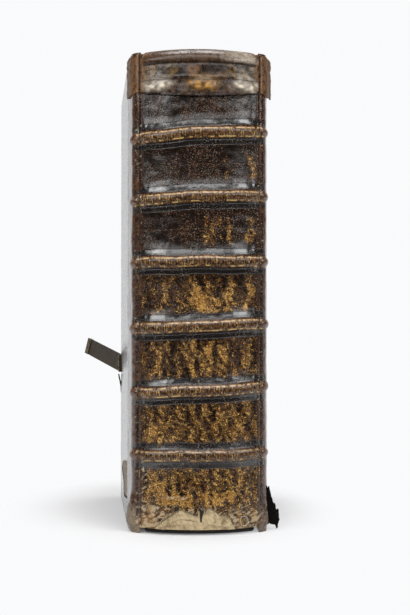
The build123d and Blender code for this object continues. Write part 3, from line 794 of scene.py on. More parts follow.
def new_object(
    name: str, points: np.ndarray, found: list[tuple[int, ...]], carried: dict[str, np.ndarray]
) -> bpy.types.Object:
    """A smooth mesh object at the origin.

    Args:
        name: Its name.
        points: Its points, in metres.
        found: Its faces, as point numbers.
        carried: The values on its points, by name.

    Returns:
        The object.
    """
    mesh = bpy.data.meshes.new(name)
    mesh.from_pydata(points.tolist(), [], found)
    for label, values in carried.items():
        layer = mesh.attributes.new(label, "FLOAT", "POINT")
        layer.data.foreach_set("value", np.ascontiguousarray(values, np.float32))
    mesh.polygons.foreach_set("use_smooth", np.ones(len(found), bool))
    tidy = bmesh.new()
    tidy.from_mesh(mesh)
    bmesh.ops.remove_doubles(tidy, verts=tidy.verts[:], dist=2e-6)
    tidy.to_mesh(mesh)
    tidy.free()
    mesh.set_sharp_from_angle(angle=math.radians(58.0))
    mesh.update()
    made = bpy.data.objects.new(name, mesh)
    bpy.context.scene.collection.objects.link(made)
    return made


def quads(rows: int, columns: int) -> list[tuple[int, ...]]:
    """The faces of a grid of points, row by row."""
    corners = (row * columns + column for row in range(rows - 1) for column in range(columns - 1))
    return [(corner, corner + 1, corner + columns + 1, corner + columns) for corner in corners]


def rim(rows: int, columns: int) -> list[int]:
    """The points round a grid, from its first point along its first row."""
    numbers = np.arange(rows * columns).reshape(rows, columns)
    sides = (numbers[0], numbers[1:, -1], numbers[-1, -2::-1], numbers[-2:0:-1, 0])
    return np.concatenate(sides).tolist()


@dataclass
class Shell:
    """A leather skin on a grid: a dense outer face, a coarse inner face and the rims between them."""

    name: str
    outer: np.ndarray
    inner: np.ndarray
    attributes: dict[str, np.ndarray] = field(default_factory=dict)

    def faces(self) -> tuple[list[tuple[int, ...]], int]:
        """All faces as vertex numbers.

        Returns:
            The faces, and the number of the first inner vertex.
        """
        rows, columns = self.outer.shape[:2]
        first = rows * columns
        found = quads(rows, columns)
        found += [(first + a, first + d, first + c, first + b) for a, b, c, d in quads(*self.inner.shape[:2])]
        rim_outer, rim_inner = rim(rows, columns), rim(*self.inner.shape[:2])
        half = COARSE // 2
        for number in range(len(rim_inner)):
            here = first + rim_inner[number]
            there = first + rim_inner[(number + 1) % len(rim_inner)]
            dense = [rim_outer[(number * COARSE + k) % len(rim_outer)] for k in range(COARSE + 1)]
            for k in range(COARSE):
                found.append((dense[k + 1], dense[k], here if k < half else there))
            found.append((dense[half], here, there))
        return found, first

    def build(self) -> bpy.types.Object:
        """The mesh object, with its values on the outer face."""
        return joined(self.name, (self,))


def joined(name: str, shells: Sequence[Shell]) -> bpy.types.Object:
    """Several skins as one object, each still closed.

    Args:
        name: The object's name.
        shells: The skins, which carry the same values.

    Returns:
        The object.
    """
    points, found, carried = [], [], {}
    for shell in shells:
        more, first = shell.faces()
        base = sum(len(part) for part in points)
        points.append(np.concatenate([shell.outer.reshape(-1, 3), shell.inner.reshape(-1, 3)]))
        found += [tuple(base + number for number in face) for face in more]
        for label, values in shell.attributes.items():
            every = np.zeros(len(points[-1]), np.float32)
            every[:first] = values.reshape(-1)
            carried.setdefault(label, []).append(every)
    return new_object(name, np.concatenate(points), found, {k: np.concatenate(v) for k, v in carried.items()})


@dataclass(frozen=True)
class GiltPatch:
    """One worn remnant of gilding, in millimetres from the spine's middle and from the floor."""

    u: float
    z: float
    half_u: float
    half_z: float
    amount: float

    def at(self, u: np.ndarray, z: np.ndarray) -> np.ndarray:
        """Its amount at points, with a loose edge."""
        u = u + 2.4 * Waves(8, 11.0)(u, z)
        z = z + 3.0 * Waves(9, 14.0)(u, z)
        across = smooth(np.abs(u - self.u), self.half_u * 1.5, self.half_u * 0.3)
        along = smooth(np.abs(z - self.z), self.half_z * 1.3, self.half_z * 0.5)
        return self.amount * across * along


@dataclass
class Spine:
    """The rounded spine: its leather over the bands, its lining and its patch at the head."""

    radius: float = 76.818
    axis_v: float = 58.318
    joint_half: float = 50.0
    low: float = 3.8
    high: float = 391.8
    leather: float = 1.2
    band_heights: tuple[float, ...] = (65.0, 117.9, 170.8, 223.7, 276.6, 329.5)
    band_tilts: tuple[float, ...] = (0.7, 2.5, 2.1, 0.8, 2.5, 3.6)
    band_radius: float = 5.2
    band_height: float = 3.0
    band_end_angle: float = 4.4
    skirt: float = 1.6
    loss_height: float = 20.0
    tail_rise: float = 1.0
    loss_shares: tuple[tuple[float, float], ...] = (
        (-0.79, -0.1), (-0.69, 0.25), (-0.525, 0.57), (-0.325, 0.9), (-0.19, 0.74),
        (-0.04, 0.62), (-0.025, 0.98), (0.06, 1.0), (0.075, 0.7), (0.14, 1.0),
        (0.24, 0.86), (0.325, 0.66), (0.475, 0.66), (0.525, 0.33), (0.61, -0.1),
    )
    columns: int = 160
    rows: int = 440
    gilding: tuple[tuple[float, ...], ...] = (
        (23.5, 299.0, 5.0, 14.0, 0.34), (42.5, 301.0, 5.5, 15.0, 0.42), (-8.0, 303.0, 30.0, 16.0, 0.16),
        (10.0, 249.0, 12.5, 14.0, 0.36), (24.0, 250.0, 4.0, 15.0, 0.4), (42.0, 250.0, 5.0, 15.0, 0.42),
        (-15.0, 245.0, 9.0, 12.0, 0.2), (-1.5, 194.0, 9.5, 15.0, 0.72), (11.0, 188.0, 5.0, 9.0, 0.7),
        (24.0, 194.0, 5.5, 15.0, 0.62), (41.5, 195.0, 5.5, 14.0, 0.52), (-31.0, 197.0, 6.5, 13.0, 0.42),
        (-16.0, 188.0, 6.0, 8.0, 0.35), (-34.5, 142.0, 5.0, 17.0, 0.5), (-7.0, 143.0, 7.0, 19.0, 0.5),
        (7.0, 144.0, 6.5, 18.0, 0.58), (19.0, 143.0, 5.0, 18.0, 0.55), (41.0, 145.0, 9.0, 18.0, 0.46),
        (30.0, 142.0, 4.0, 15.0, 0.3), (-36.0, 84.0, 14.0, 13.0, 0.55), (-12.0, 92.0, 16.0, 16.0, 0.36),
        (27.0, 91.0, 24.0, 17.0, 0.46), (-20.0, 38.0, 30.0, 15.0, 0.42), (30.0, 36.0, 24.0, 16.0, 0.46),
        (-34.0, 40.0, 11.0, 9.0, 0.62), (-24.0, 29.0, 24.0, 6.0, 0.72), (16.0, 30.0, 26.0, 6.0, 0.7),
    )

    def __post_init__(self) -> None:
        """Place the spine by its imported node."""
        low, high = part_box("spine_leather")
        self.origin = np.array([(low.x + high.x) / 2 / MM, high.y / MM])
        self.joint_angle = math.atan2(self.joint_half, self.axis_v)

    def point(self, angle: np.ndarray, z: np.ndarray, rise: np.ndarray) -> np.ndarray:
        """Points off the rounded back.

        Args:
            angle: Turns from the middle of the spine, in radians.
            z: Heights over the floor.
            rise: Distances out of the spine's own radius.

        Returns:
            The points in metres, in the part's frame.
        """
        reach = self.radius + rise
        x = self.origin[0] + reach * np.sin(angle)
        y = self.origin[1] + self.axis_v - reach * np.cos(angle)
        return np.stack([x, y, z], -1) * MM

    def tear(self, u: np.ndarray) -> np.ndarray:
        """The height of the leather's lower edge, torn in the middle."""
        places = np.array([share[0] for share in self.loss_shares]) * self.joint_half
        heights = np.array([share[1] for share in self.loss_shares]) * self.loss_height
        edge = np.maximum(np.interp(u, places, heights, left=0.0, right=0.0), self.tail_rise)
        jag = Waves(3, 3.2)(u, np.zeros_like(u)) * 0.5
        return self.low + np.maximum(edge + jag * (edge > 2.0), 0.0)

    def bands(self, angle: np.ndarray, z: np.ndarray) -> tuple[np.ndarray, np.ndarray]:
        """The raised bands.

        Args:
            angle: Turns from the middle of the spine, in radians.
            z: Heights over the floor.

        Returns:
            How far the bands raise the leather, and the distance above the nearest band's middle.
        """
        u = self.radius * np.sin(angle)
        arc = self.radius * np.abs(angle)
        beyond = np.maximum(arc - self.radius * (self.joint_angle - math.radians(self.band_end_angle)), 0.0)
        rise = np.zeros_like(z)
        nearest = np.full_like(z, 99.0)
        for number, (height, tilt) in enumerate(zip(self.band_heights, self.band_tilts)):
            wobble = Waves(20 + number, 38.0)(u, np.zeros_like(u)) * 0.5
            away = (z - height - u * math.tan(math.radians(tilt)) - wobble) * math.cos(math.radians(tilt))
            inside = self.band_radius**2 - away**2 - beyond**2
            raw = np.sqrt(np.maximum(inside, 0.0)) - (self.band_radius - self.band_height)
            raw = np.where(inside > 0.0, raw, -(np.sqrt(away**2 + beyond**2) - self.band_radius) - 2.2)
            blend = 0.5 + 0.5 * np.clip(raw / 1.4, -1.0, 1.0)
            lifted = np.maximum(raw * blend + 0.35 * blend * (1.0 - blend) * 1.4, 0.0)
            skirt = self.skirt * np.exp(-np.maximum(np.abs(away) - 4.0, 0.0) / 3.2 - beyond / 2.0)
            rise = np.maximum(rise, np.sqrt(np.square(lifted) + np.square(skirt)) - 0.1 * skirt)
            nearest = nearer(away, nearest)
        return rise, nearest

    def leather_piece(self) -> bpy.types.Object:
        """The leather moulded over the bands, torn at the tail."""
        across = np.linspace(-1.0, 1.0, self.columns + 1)
        share = np.linspace(0.0, 1.0, self.rows + 1)
        angle = np.tile(across * self.joint_angle, (self.rows + 1, 1))
        u = self.radius * np.sin(angle)
        edge = self.tear(u)
        z = edge + (self.high - edge) * share[:, None]
        rise, nearest = self.bands(angle, z)
        flat = 1.0 - smooth(np.abs(nearest), 9.0, 4.0)
        relief = 0.15 * Waves(1, 22.0)(u, z) + 0.1 * Waves(2, 7.0)(u, z)
        hollow = -0.85 * smooth(np.abs(nearest), 5.5, 17.0)
        curl = 0.8 * smooth(z - edge, 6.0, 0.0) * smooth(edge, self.low + 4.0, self.low + 10.0)
        rim = smooth(np.abs(across), 0.85, 0.94)[None, :]
        out = rise + np.maximum((relief + hollow) * flat * (1.0 - rim), -1.0) + curl
        gilt = np.zeros_like(z)
        for row in self.gilding:
            gilt = np.maximum(gilt, GiltPatch(*row).at(u, z))
        base = 0.12 + 0.2 * smooth(z, 250.0, 200.0) + 0.1 * smooth(z, 170.0, 60.0)
        gilt = np.maximum(gilt, base * smooth(np.abs(nearest), 6.0, 12.0))
        streak = Waves(10, 8.0)(u, 0.4 * z) + 0.8 * Waves(11, 4.5)(u, 0.8 * z)
        gilt = gilt * np.clip(0.95 + 0.38 * streak, 0.3, 1.5)
        worn = 0.85 * smooth(z, 40.0, 8.0) * smooth(u, -14.0, -44.0)
        worn = np.maximum(worn, 0.62 * smooth(z, 34.0, 10.0))
        worn = np.maximum(worn, 0.4 * smooth(u, -38.0, -48.0) * smooth(z, 95.0, 45.0))
        worn = np.maximum(worn, 0.4 * smooth(z - edge, 3.0, 0.0) * smooth(z, 40.0, 20.0))
        scrape = bell(z - 30.6 + 0.07 * (u + 22.0) - 0.6 * Waves(13, 9.0)(u, z), 1.1)
        worn = np.maximum(worn, 1.1 * scrape * smooth(u, -36.0, -31.0) * smooth(u, -8.0, -13.0))
        made = Shell(
            "spine_calf",
            self.point(angle, z, out),
            self.point(thin(angle), thin(z), thin(out) - self.leather + 0.1),
            attributes={
                "band": nearest,
                "arc": self.radius * angle,
                "gilt": gilt,
                "worn": worn,
                "margin": np.tile(smooth(np.abs(across), 0.9, 0.99), (self.rows + 1, 1)),
            },
        ).build()
        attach(made, Body.BLOCK.value)
        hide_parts("spine_leather")
        return made


@dataclass
class HeadPatch:
    """The strip of leather over the head of the spine, rolled in over the endband."""

    spine: Spine
    thickness: float = 1.4
    low: float = 359.0
    sag: float = 5.0
    crease_z: float = 386.4
    fold_height: float = 374.8
    bulge: float = 0.3
    ring: float = 72.318
    cap_z: float = 394.6
    cap_inner: float = 2.3
    turn_angle: float = 150.0
    end_angle: float = 2.0
    dent_shares: tuple[float, ...] = (-0.71, 0.05, 0.76)
    dent_radius: float = 15.0
    dent_height: float = 1.8
    dent_rise: float = 9.0
    columns: int = 160
    rows: int = 120

    def profile(self, low: float, outer: bool) -> np.ndarray:
        """One section of the patch, as radius and height, from its lower edge to its turned-in edge.

        Args:
            low: The height of the lower edge.
            outer: True for the outer face.

        Returns:
            Points along the section, evenly spread.
        """
        turn = math.radians(self.turn_angle)
        cap = self.cap_inner + (self.thickness if outer else 0.0)
        face = self.spine.radius + (self.thickness if outer else 0.0)
        points = [(face, low)]
        if outer:
            top = (self.ring, self.cap_z + cap)
            mid = (face + self.bulge, (self.crease_z + top[1]) / 2)
            points += [(face, self.crease_z)]
            for share in np.linspace(0.0, 1.0, 24)[1:]:
                a, b, c = (2 * share - 1) * (share - 1), 4 * share * (1 - share), share * (2 * share - 1)
                points.append((a * face + b * mid[0] + c * top[0], a * self.crease_z + b * mid[1] + c * top[1]))
        else:
            points += [(face, self.spine.high), (self.ring + cap, self.cap_z)]
            for share in np.linspace(0.0, 1.0, 12)[1:]:
                angle = share * math.pi / 2
                points.append((self.ring + cap * math.cos(angle), self.cap_z + cap * math.sin(angle)))
        for share in np.linspace(0.0, 1.0, 12)[1:]:
            angle = math.pi / 2 + share * (turn - math.pi / 2)
            points.append((self.ring + cap * math.cos(angle), self.cap_z + cap * math.sin(angle)))
        line = np.array(points)
        return evenly(line, (self.rows if outer else self.rows // COARSE) + 1)[0]

    def piece(self) -> bpy.types.Object:
        """The patch's mesh."""
        sweep = self.spine.joint_angle - math.radians(self.end_angle)
        across = np.linspace(-1.0, 1.0, self.columns + 1)
        u = self.spine.radius * np.sin(across * sweep)
        low = self.low + self.sag * (u / self.spine.joint_half) ** 2
        outer = np.stack([self.profile(value, True) for value in low], 1)
        inner = np.stack([self.profile(value, False) for value in low[::COARSE]], 1)
        angle = np.tile(across * sweep, (self.rows + 1, 1))
        z = outer[..., 1]
        uu = np.tile(u, (self.rows + 1, 1))
        rise = outer[..., 0] - self.spine.radius
        for share in self.dent_shares:
            beside = (uu - share * self.spine.joint_half) / 1.45
            away = beside**2 + (1.1 * (z - self.low - self.dent_rise)) ** 2
            dome = np.sqrt(np.maximum(self.dent_radius**2 - away, 0.0)) - (self.dent_radius - self.dent_height)
            rise = rise + np.maximum(dome, 0.0)
        face = smooth(z, self.crease_z + 1.0, self.crease_z - 2.0)
        crease = -0.7 * bell(z - self.crease_z, 1.3) * face
        fold_z = self.fold_height + 0.7 * Waves(41, 34.0)(uu, z)
        fold = bell(z - fold_z, 1.2)
        rise = rise + crease + 0.5 * fold + (0.25 * Waves(42, 14.0)(uu, z) + 0.08 * Waves(43, 5.0)(uu, z)) * face
        roll = smooth(z, self.crease_z, self.crease_z + 3.0)
        rise = rise + (0.25 * Waves(44, 24.0)(uu, z) + 0.05 * Waves(45, 7.0)(uu, z)) * roll
        outer_points = self.spine.point(angle, z, rise)
        inner_angle = np.tile(across[::COARSE] * sweep, (inner.shape[0], 1))
        inner_points = self.spine.point(inner_angle, inner[..., 1], inner[..., 0] - self.spine.radius)
        # painted highlights on the dents: pale crescents under each dent, a pale arc over the right one and a
        # faint haze inside, which stand in for lamp light
        dent_highlight = np.zeros_like(z)
        for share in self.dent_shares:
            loose_u = uu + 2.0 * Waves(46, 9.0)(uu, z) - share * self.spine.joint_half
            loose_z = z + 1.4 * Waves(47, 8.0)(uu, z) - self.low - self.dent_rise - 2.0
            away = np.hypot(loose_u / 10.0, loose_z / 5.6)
            crescent = bell(away - 0.6, 0.34) * smooth(loose_z, 3.0, -1.0)
            broken = smooth(Waves(48, 5.0)(uu, z), -0.9, 0.5)
            upper = 0.4 * bell(away - 0.9, 0.2) * smooth(loose_z, 1.0, 3.5) * (share > 0.4)
            haze = 0.22 * smooth(away, 1.7, 0.9)
            dent_highlight = np.maximum(dent_highlight, np.maximum(0.85 * crescent, upper) * broken + haze)
        strip = smooth(z, 373.5, 376.0) * smooth(z, self.crease_z, self.crease_z - 2.0)
        # painted shade carried in the fold values: a dark line in the crease, a shadow under the fold and a shadow
        # along the lower edge
        line = bell(z - self.crease_z, 0.9)
        under = 0.8 * bell(z - fold_z + 2.0, 0.8)
        edge = smooth(z - low[None, :], 1.6, 0.4)
        made = Shell("head_patch_calf", outer_points, inner_points, attributes={
            "dent_highlight": dent_highlight,
            "strip": strip,
            "roll": roll,
            "side": smooth(np.abs(uu), 14.0, 24.0),
            "fold": np.maximum(np.maximum(line, under), edge),
        }).build()
        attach(made, Body.BLOCK.value)
        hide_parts("head_patch")
        return made


class Repeats:
    """Geometry Nodes that set a small form at even steps along a line."""

    def __init__(self) -> None:
        """Build the three trees."""
        self.wraps = self.build_wraps()
        self.fibres = self.build_fibres()
        self.thread = self.build_thread()

    @staticmethod
    def open(name: str, inputs: dict[str, int | float]) -> tuple[Graph, bpy.types.Node, Value]:
        """Start a tree.

        Args:
            name: The tree's name.
            inputs: The default of each value, whole where the value is a number of things.

        Returns:
            Its graph, its input node and the points along the line.
        """
        tree = bpy.data.node_groups.new(name, "GeometryNodeTree")
        tree.interface.new_socket("Geometry", in_out="INPUT", socket_type="NodeSocketGeometry")
        tree.interface.new_socket("Material", in_out="INPUT", socket_type="NodeSocketMaterial")
        for label, default in inputs.items():
            kind = "NodeSocketInt" if isinstance(default, int) else "NodeSocketFloat"
            tree.interface.new_socket(label, in_out="INPUT", socket_type=kind).default_value = default
        tree.interface.new_socket("Geometry", in_out="OUTPUT", socket_type="NodeSocketGeometry")
        graph = Graph(tree)
        entry = graph.add("NodeGroupInput")
        line = graph.out("GeometryNodeMeshToCurve", {"Mesh": entry.outputs["Geometry"]})
        points = graph.out("GeometryNodeResampleCurve", {"Curve": line, "Count": entry.outputs["Count"]})
        return graph, entry, points

    @staticmethod
    def close(graph: Graph, entry: bpy.types.Node, instances: Value) -> bpy.types.NodeTree:
        """End a tree with real, smooth geometry in its material."""
        real = graph.out("GeometryNodeRealizeInstances", {"Geometry": instances})
        soft = graph.out("GeometryNodeSetShadeSmooth", {"Geometry": real})
        done = graph.out("GeometryNodeSetMaterial", {"Geometry": soft, "Material": entry.outputs["Material"]})
        graph.add("NodeGroupOutput", {"Geometry": done})
        return graph.tree

    @staticmethod
    def tube(graph: Graph, path: Value, radius: Feed, sides: int) -> Value:
        """A round thread along a path."""
        ring = graph.out("GeometryNodeCurvePrimitiveCircle", {"Resolution": sides, "Radius": radius})
        return graph.out("GeometryNodeCurveToMesh", {"Curve": path, "Profile Curve": ring, "Fill Caps": True})

    def build_wraps(self) -> bpy.types.NodeTree:
        """Thread wound round a core."""
        graph, entry, points = self.open("thread wraps", {"Count": 60, "Core": 0.002, "Thread": 0.0004})
        turn = graph.out("GeometryNodeCurvePrimitiveCircle", {"Resolution": 14, "Radius": entry.outputs["Core"]})
        wrap = self.tube(graph, turn, entry.outputs["Thread"], 6)
        tangent = graph.out("GeometryNodeInputTangent")
        aligned = graph.out("FunctionNodeAlignRotationToVector", {"Vector": tangent}, axis="Z")
        placed = {"Points": points, "Instance": wrap, "Rotation": aligned}
        return self.close(graph, entry, graph.out("GeometryNodeInstanceOnPoints", placed))

    def build_fibres(self) -> bpy.types.NodeTree:
        """Frayed fibres that hang from a torn edge."""
        graph, entry, points = self.open("frayed fibres", {"Count": 60, "Length": 0.004, "Seed": 1})
        seed = entry.outputs["Seed"]
        bend = graph.out("GeometryNodeCurveQuadraticBezier", {
            "Resolution": 6, "Start": (0.0, 0.0, 0.0), "Middle": (0.0, -0.25, -0.4), "End": (0.15, -0.2, -1.0),
        })
        hair = self.tube(graph, bend, 0.035, 4)
        limits = {"Min": (-0.35, -0.9, -0.6), "Max": (0.25, 0.9, 0.6), "Seed": seed}
        turn = graph.out("FunctionNodeRandomValue", limits, data_type="FLOAT_VECTOR")
        share = graph.out("FunctionNodeRandomValue", {2: 0.35, 3: 1.2, "Seed": seed}, 1, data_type="FLOAT")
        size = share * entry.outputs["Length"]
        placed = {"Points": points, "Instance": hair, "Rotation": turn, "Scale": size}
        return self.close(graph, entry, graph.out("GeometryNodeInstanceOnPoints", placed))

    def build_thread(self) -> bpy.types.NodeTree:
        """One round thread along the whole line."""
        graph, entry, points = self.open("loose thread", {"Count": 60, "Radius": 0.0004})
        return self.close(graph, entry, self.tube(graph, points, entry.outputs["Radius"], 6))

    @staticmethod
    def along(
        name: str, line: np.ndarray, tree: bpy.types.NodeTree, material: bpy.types.Material, **values: float
    ) -> bpy.types.Object:
        """Run a tree on a line of points.

        Args:
            name: The name of the piece that it makes.
            line: The line's points, in metres.
            tree: The tree.
            material: The finish of the piece.
            values: The tree's named inputs.

        Returns:
            The piece, as a plain mesh.
        """
        mesh = bpy.data.meshes.new(f"{name}_line")
        mesh.from_pydata(line.tolist(), [(n, n + 1) for n in range(len(line) - 1)], [])
        guide = bpy.data.objects.new(f"{name}_line", mesh)
        bpy.context.scene.collection.objects.link(guide)
        modifier = guide.modifiers.new("repeat", "NODES")
        modifier.node_group = tree
        wanted = {"Material": material, **values}
        for item in tree.interface.items_tree:
            if item.item_type == "SOCKET" and item.in_out == "INPUT" and item.name in wanted:
                modifier[item.identifier] = wanted[item.name]
        bpy.context.view_layer.update()
        evaluated = guide.evaluated_get(bpy.context.evaluated_depsgraph_get())
        made = bpy.data.objects.new(name, bpy.data.meshes.new_from_object(evaluated))
        guide.modifiers.remove(modifier)
        bpy.data.objects.remove(guide)
        bpy.context.scene.collection.objects.link(made)
        return made


@dataclass
class Threads:
    """The sewn endbands' threads, and the fibres at the torn tail."""

    spine: Spine
    repeats: Repeats
    ring: float = 72.318
    sweep: float = 36.6
    heights: tuple[float, ...] = (3.4, 394.6)
    core: float = 2.1
    thread: float = 0.42

    def endbands(self, *materials: bpy.types.Material) -> list[bpy.types.Object]:
        """The threads wound round the cores of the tail's and the head's endband, each in its material."""
        made = []
        angle = np.radians(np.linspace(-self.sweep, self.sweep, 97))
        for end, height, material in zip(("tail", "head"), self.heights, materials):
            rise = np.full_like(angle, self.ring - self.spine.radius)
            line = self.spine.point(angle, np.full_like(angle, height), rise)
            values = {"Count": 118, "Core": (self.core - 0.2) * MM, "Thread": self.thread * MM}
            piece = self.repeats.along(f"{end}_endband_thread", line, self.repeats.wraps, material, **values)
            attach(piece, Body.BLOCK.value)
            made.append(piece)
        return made

    def fray(self, material: bpy.types.Material) -> bpy.types.Object:
        """Fibres along the torn edge of the spine's leather."""
        u = np.linspace(-34.0, 27.0, 160)
        angle = np.arcsin(u / self.spine.radius)
        line = self.spine.point(angle, self.spine.tear(u) + 0.3, np.full_like(u, 0.35))
        values = {"Count": 90, "Length": 3.0 * MM, "Seed": SEED}
        piece = self.repeats.along("tail_fray", line, self.repeats.fibres, material, **values)
        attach(piece, Body.BLOCK.value)
        return piece

    def loop(self, material: bpy.types.Material) -> bpy.types.Object:
        """The loose thread that curls out of the torn tail."""
        turn = np.linspace(-0.6, 2.3 * math.pi, 60)
        shrink = np.linspace(1.25, 0.8, 60)
        u = 36.4 + 3.1 * shrink * np.cos(turn) - np.linspace(1.6, 0.0, 60)
        z = 11.0 + 3.5 * shrink * np.sin(turn) - np.linspace(0.0, 1.2, 60)
        rise = 0.35 + 1.5 * np.sin(np.linspace(0.0, 3 * math.pi, 60)) ** 2
        line = self.spine.point(np.arcsin(u / self.spine.radius), z, rise)
        values = {"Count": 90, "Radius": 0.42 * MM}
        piece = self.repeats.along("loose_thread", line, self.repeats.thread, material, **values)
        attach(piece, Body.BLOCK.value)
        return piece


@dataclass
class Lining:
    """The panels pasted on the back between the cords, torn open where the tail has lost its leather."""

    spine: Spine
    half: float = 42.5
    outer_rise: float = -1.26
    inner_rise: float = -1.74
    cord: float = 3.75
    tents: tuple[tuple[float, float, float, float], ...] = (
        (-17.0, 9.5, 9.5, 22.5), (10.5, 8.5, 11.5, 25.0), (-31.0, 6.0, 6.0, 14.0), (24.0, 6.0, 6.5, 13.0),
    )
    folds: tuple[tuple[float, float, float, float], ...] = (
        (-32.0, 6.5, -16.0, 14.5), (-16.0, 14.5, 0.5, 11.5), (-13.0, 19.0, -21.0, 9.5),
        (3.5, 20.0, 6.5, 10.0), (6.5, 10.0, 21.0, 7.0), (13.0, 19.0, 17.0, 8.0),
    )
    fold_half: float = 0.8
    crease_drop: float = 1.3
    slit: tuple[float, float, float] = (0.9, 9.5, 27.0)

    def along_folds(self, u: np.ndarray, z: np.ndarray, drop: float) -> Iterator[tuple[np.ndarray, np.ndarray]]:
        """Where points lie beside each fold.

        Args:
            u: Places across the spine.
            z: Heights over the floor.
            drop: How far below the fold the distance is taken.

        Yields:
            The share of the way along the fold, and the distance from it.
        """
        for u0, z0, u1, z1 in self.folds:
            run = np.array([u1 - u0, z1 - z0])
            share = np.clip(((u - u0) * run[0] + (z - z0) * run[1]) / (run @ run), 0.0, 1.0)
            yield share, np.hypot(u - u0 - share * run[0], z - z0 + drop - share * run[1])

    def relief(self, u: np.ndarray, z: np.ndarray) -> np.ndarray:
        """How far the torn lining stands up."""
        rise = 0.3 * Waves(51, 9.0)(u, z)
        for at, half, low, high in self.tents:
            share = np.clip((high - z) / (high - low), 0.0, 1.0)
            slope = np.maximum(0.0, 1.0 - np.abs(u - at) / (half * share + 0.8))
            rise = rise + 3.4 * slope * smooth(z, high + 0.5, high - 3.0) * smooth(z, low - 6.0, low + 1.0)
        for _, away in self.along_folds(u, z, 0.0):
            rise = rise + 0.9 * bell(away, self.fold_half)
        return rise * smooth(self.spine.tear(u) - z, -0.3, 1.6)

    def creases(self, u: np.ndarray, z: np.ndarray) -> np.ndarray:
        """How much painted shade falls on points just below each fold."""
        dark = np.zeros_like(u)
        u, z = u + 0.9 * Waves(53, 9.0)(u, z), z + 0.9 * Waves(54, 9.0)(u, z)
        for share, away in self.along_folds(u, z, self.crease_drop):
            dark = np.maximum(dark, bell(away, self.fold_half) * (0.4 + 0.6 * np.sin(math.pi * share)))
        return dark * smooth(Waves(52, 9.0)(u, z), -1.3, 0.3)

    def piece(self) -> bpy.types.Object:
        """All panels in one mesh."""
        sweep = math.asin(self.half / self.spine.radius)
        breaks = [self.spine.low + 0.8, *self.spine.band_heights, self.spine.high]
        shells = []
        for number, (start, end) in enumerate(zip(breaks, breaks[1:])):
            columns, rows = (120, 64) if number == 0 else (24, 12)
            angle = np.tile(np.linspace(-sweep, sweep, columns + 1), (rows + 1, 1))
            u = self.spine.radius * np.sin(angle)
            tilts = (0.0, *self.spine.band_tilts, 0.0)
            low = start + u * math.tan(math.radians(tilts[number])) + (self.cord if number else 0.0)
            high = end + u * math.tan(math.radians(tilts[number + 1]))
            high = high - (self.cord if number < len(breaks) - 2 else 0.0)
            z = low + (high - low) * np.linspace(0.0, 1.0, rows + 1)[:, None]
            lift = self.relief(u, z) if number == 0 else np.zeros_like(z)
            # the lining sinks into a narrow slit, which is also painted dark as shade
            at, bottom, top = self.slit
            wide = np.interp(z, (bottom, 22.0), (0.5, 2.6))
            loose = u - at - 0.7 * Waves(55, 7.0)(z, u)
            slit = bell(loose, wide) * smooth(z, bottom, bottom + 2.0) * smooth(z, top, top - 2.0)
            # painted shade just below the folds
            slit = np.maximum(slit, 0.62 * self.creases(u, z))
            # painted shadow on the lining along the torn leather's edge
            slit = np.maximum(slit, 0.6 * smooth(np.abs(self.spine.tear(u) - 0.5 - z), 1.1, 0.3) * (z > 7.0))
            outer = self.spine.point(angle, z, self.outer_rise + lift * (1.0 - slit) - 0.4 * slit)
            inner = self.spine.point(thin(angle), thin(z), np.full_like(thin(z), self.inner_rise))
            shells.append(Shell("panel", outer, inner, attributes={"slit": slit}))
        made = joined("lining_panels", shells)
        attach(made, Body.BLOCK.value)
        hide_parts("spine_linings")
        return made


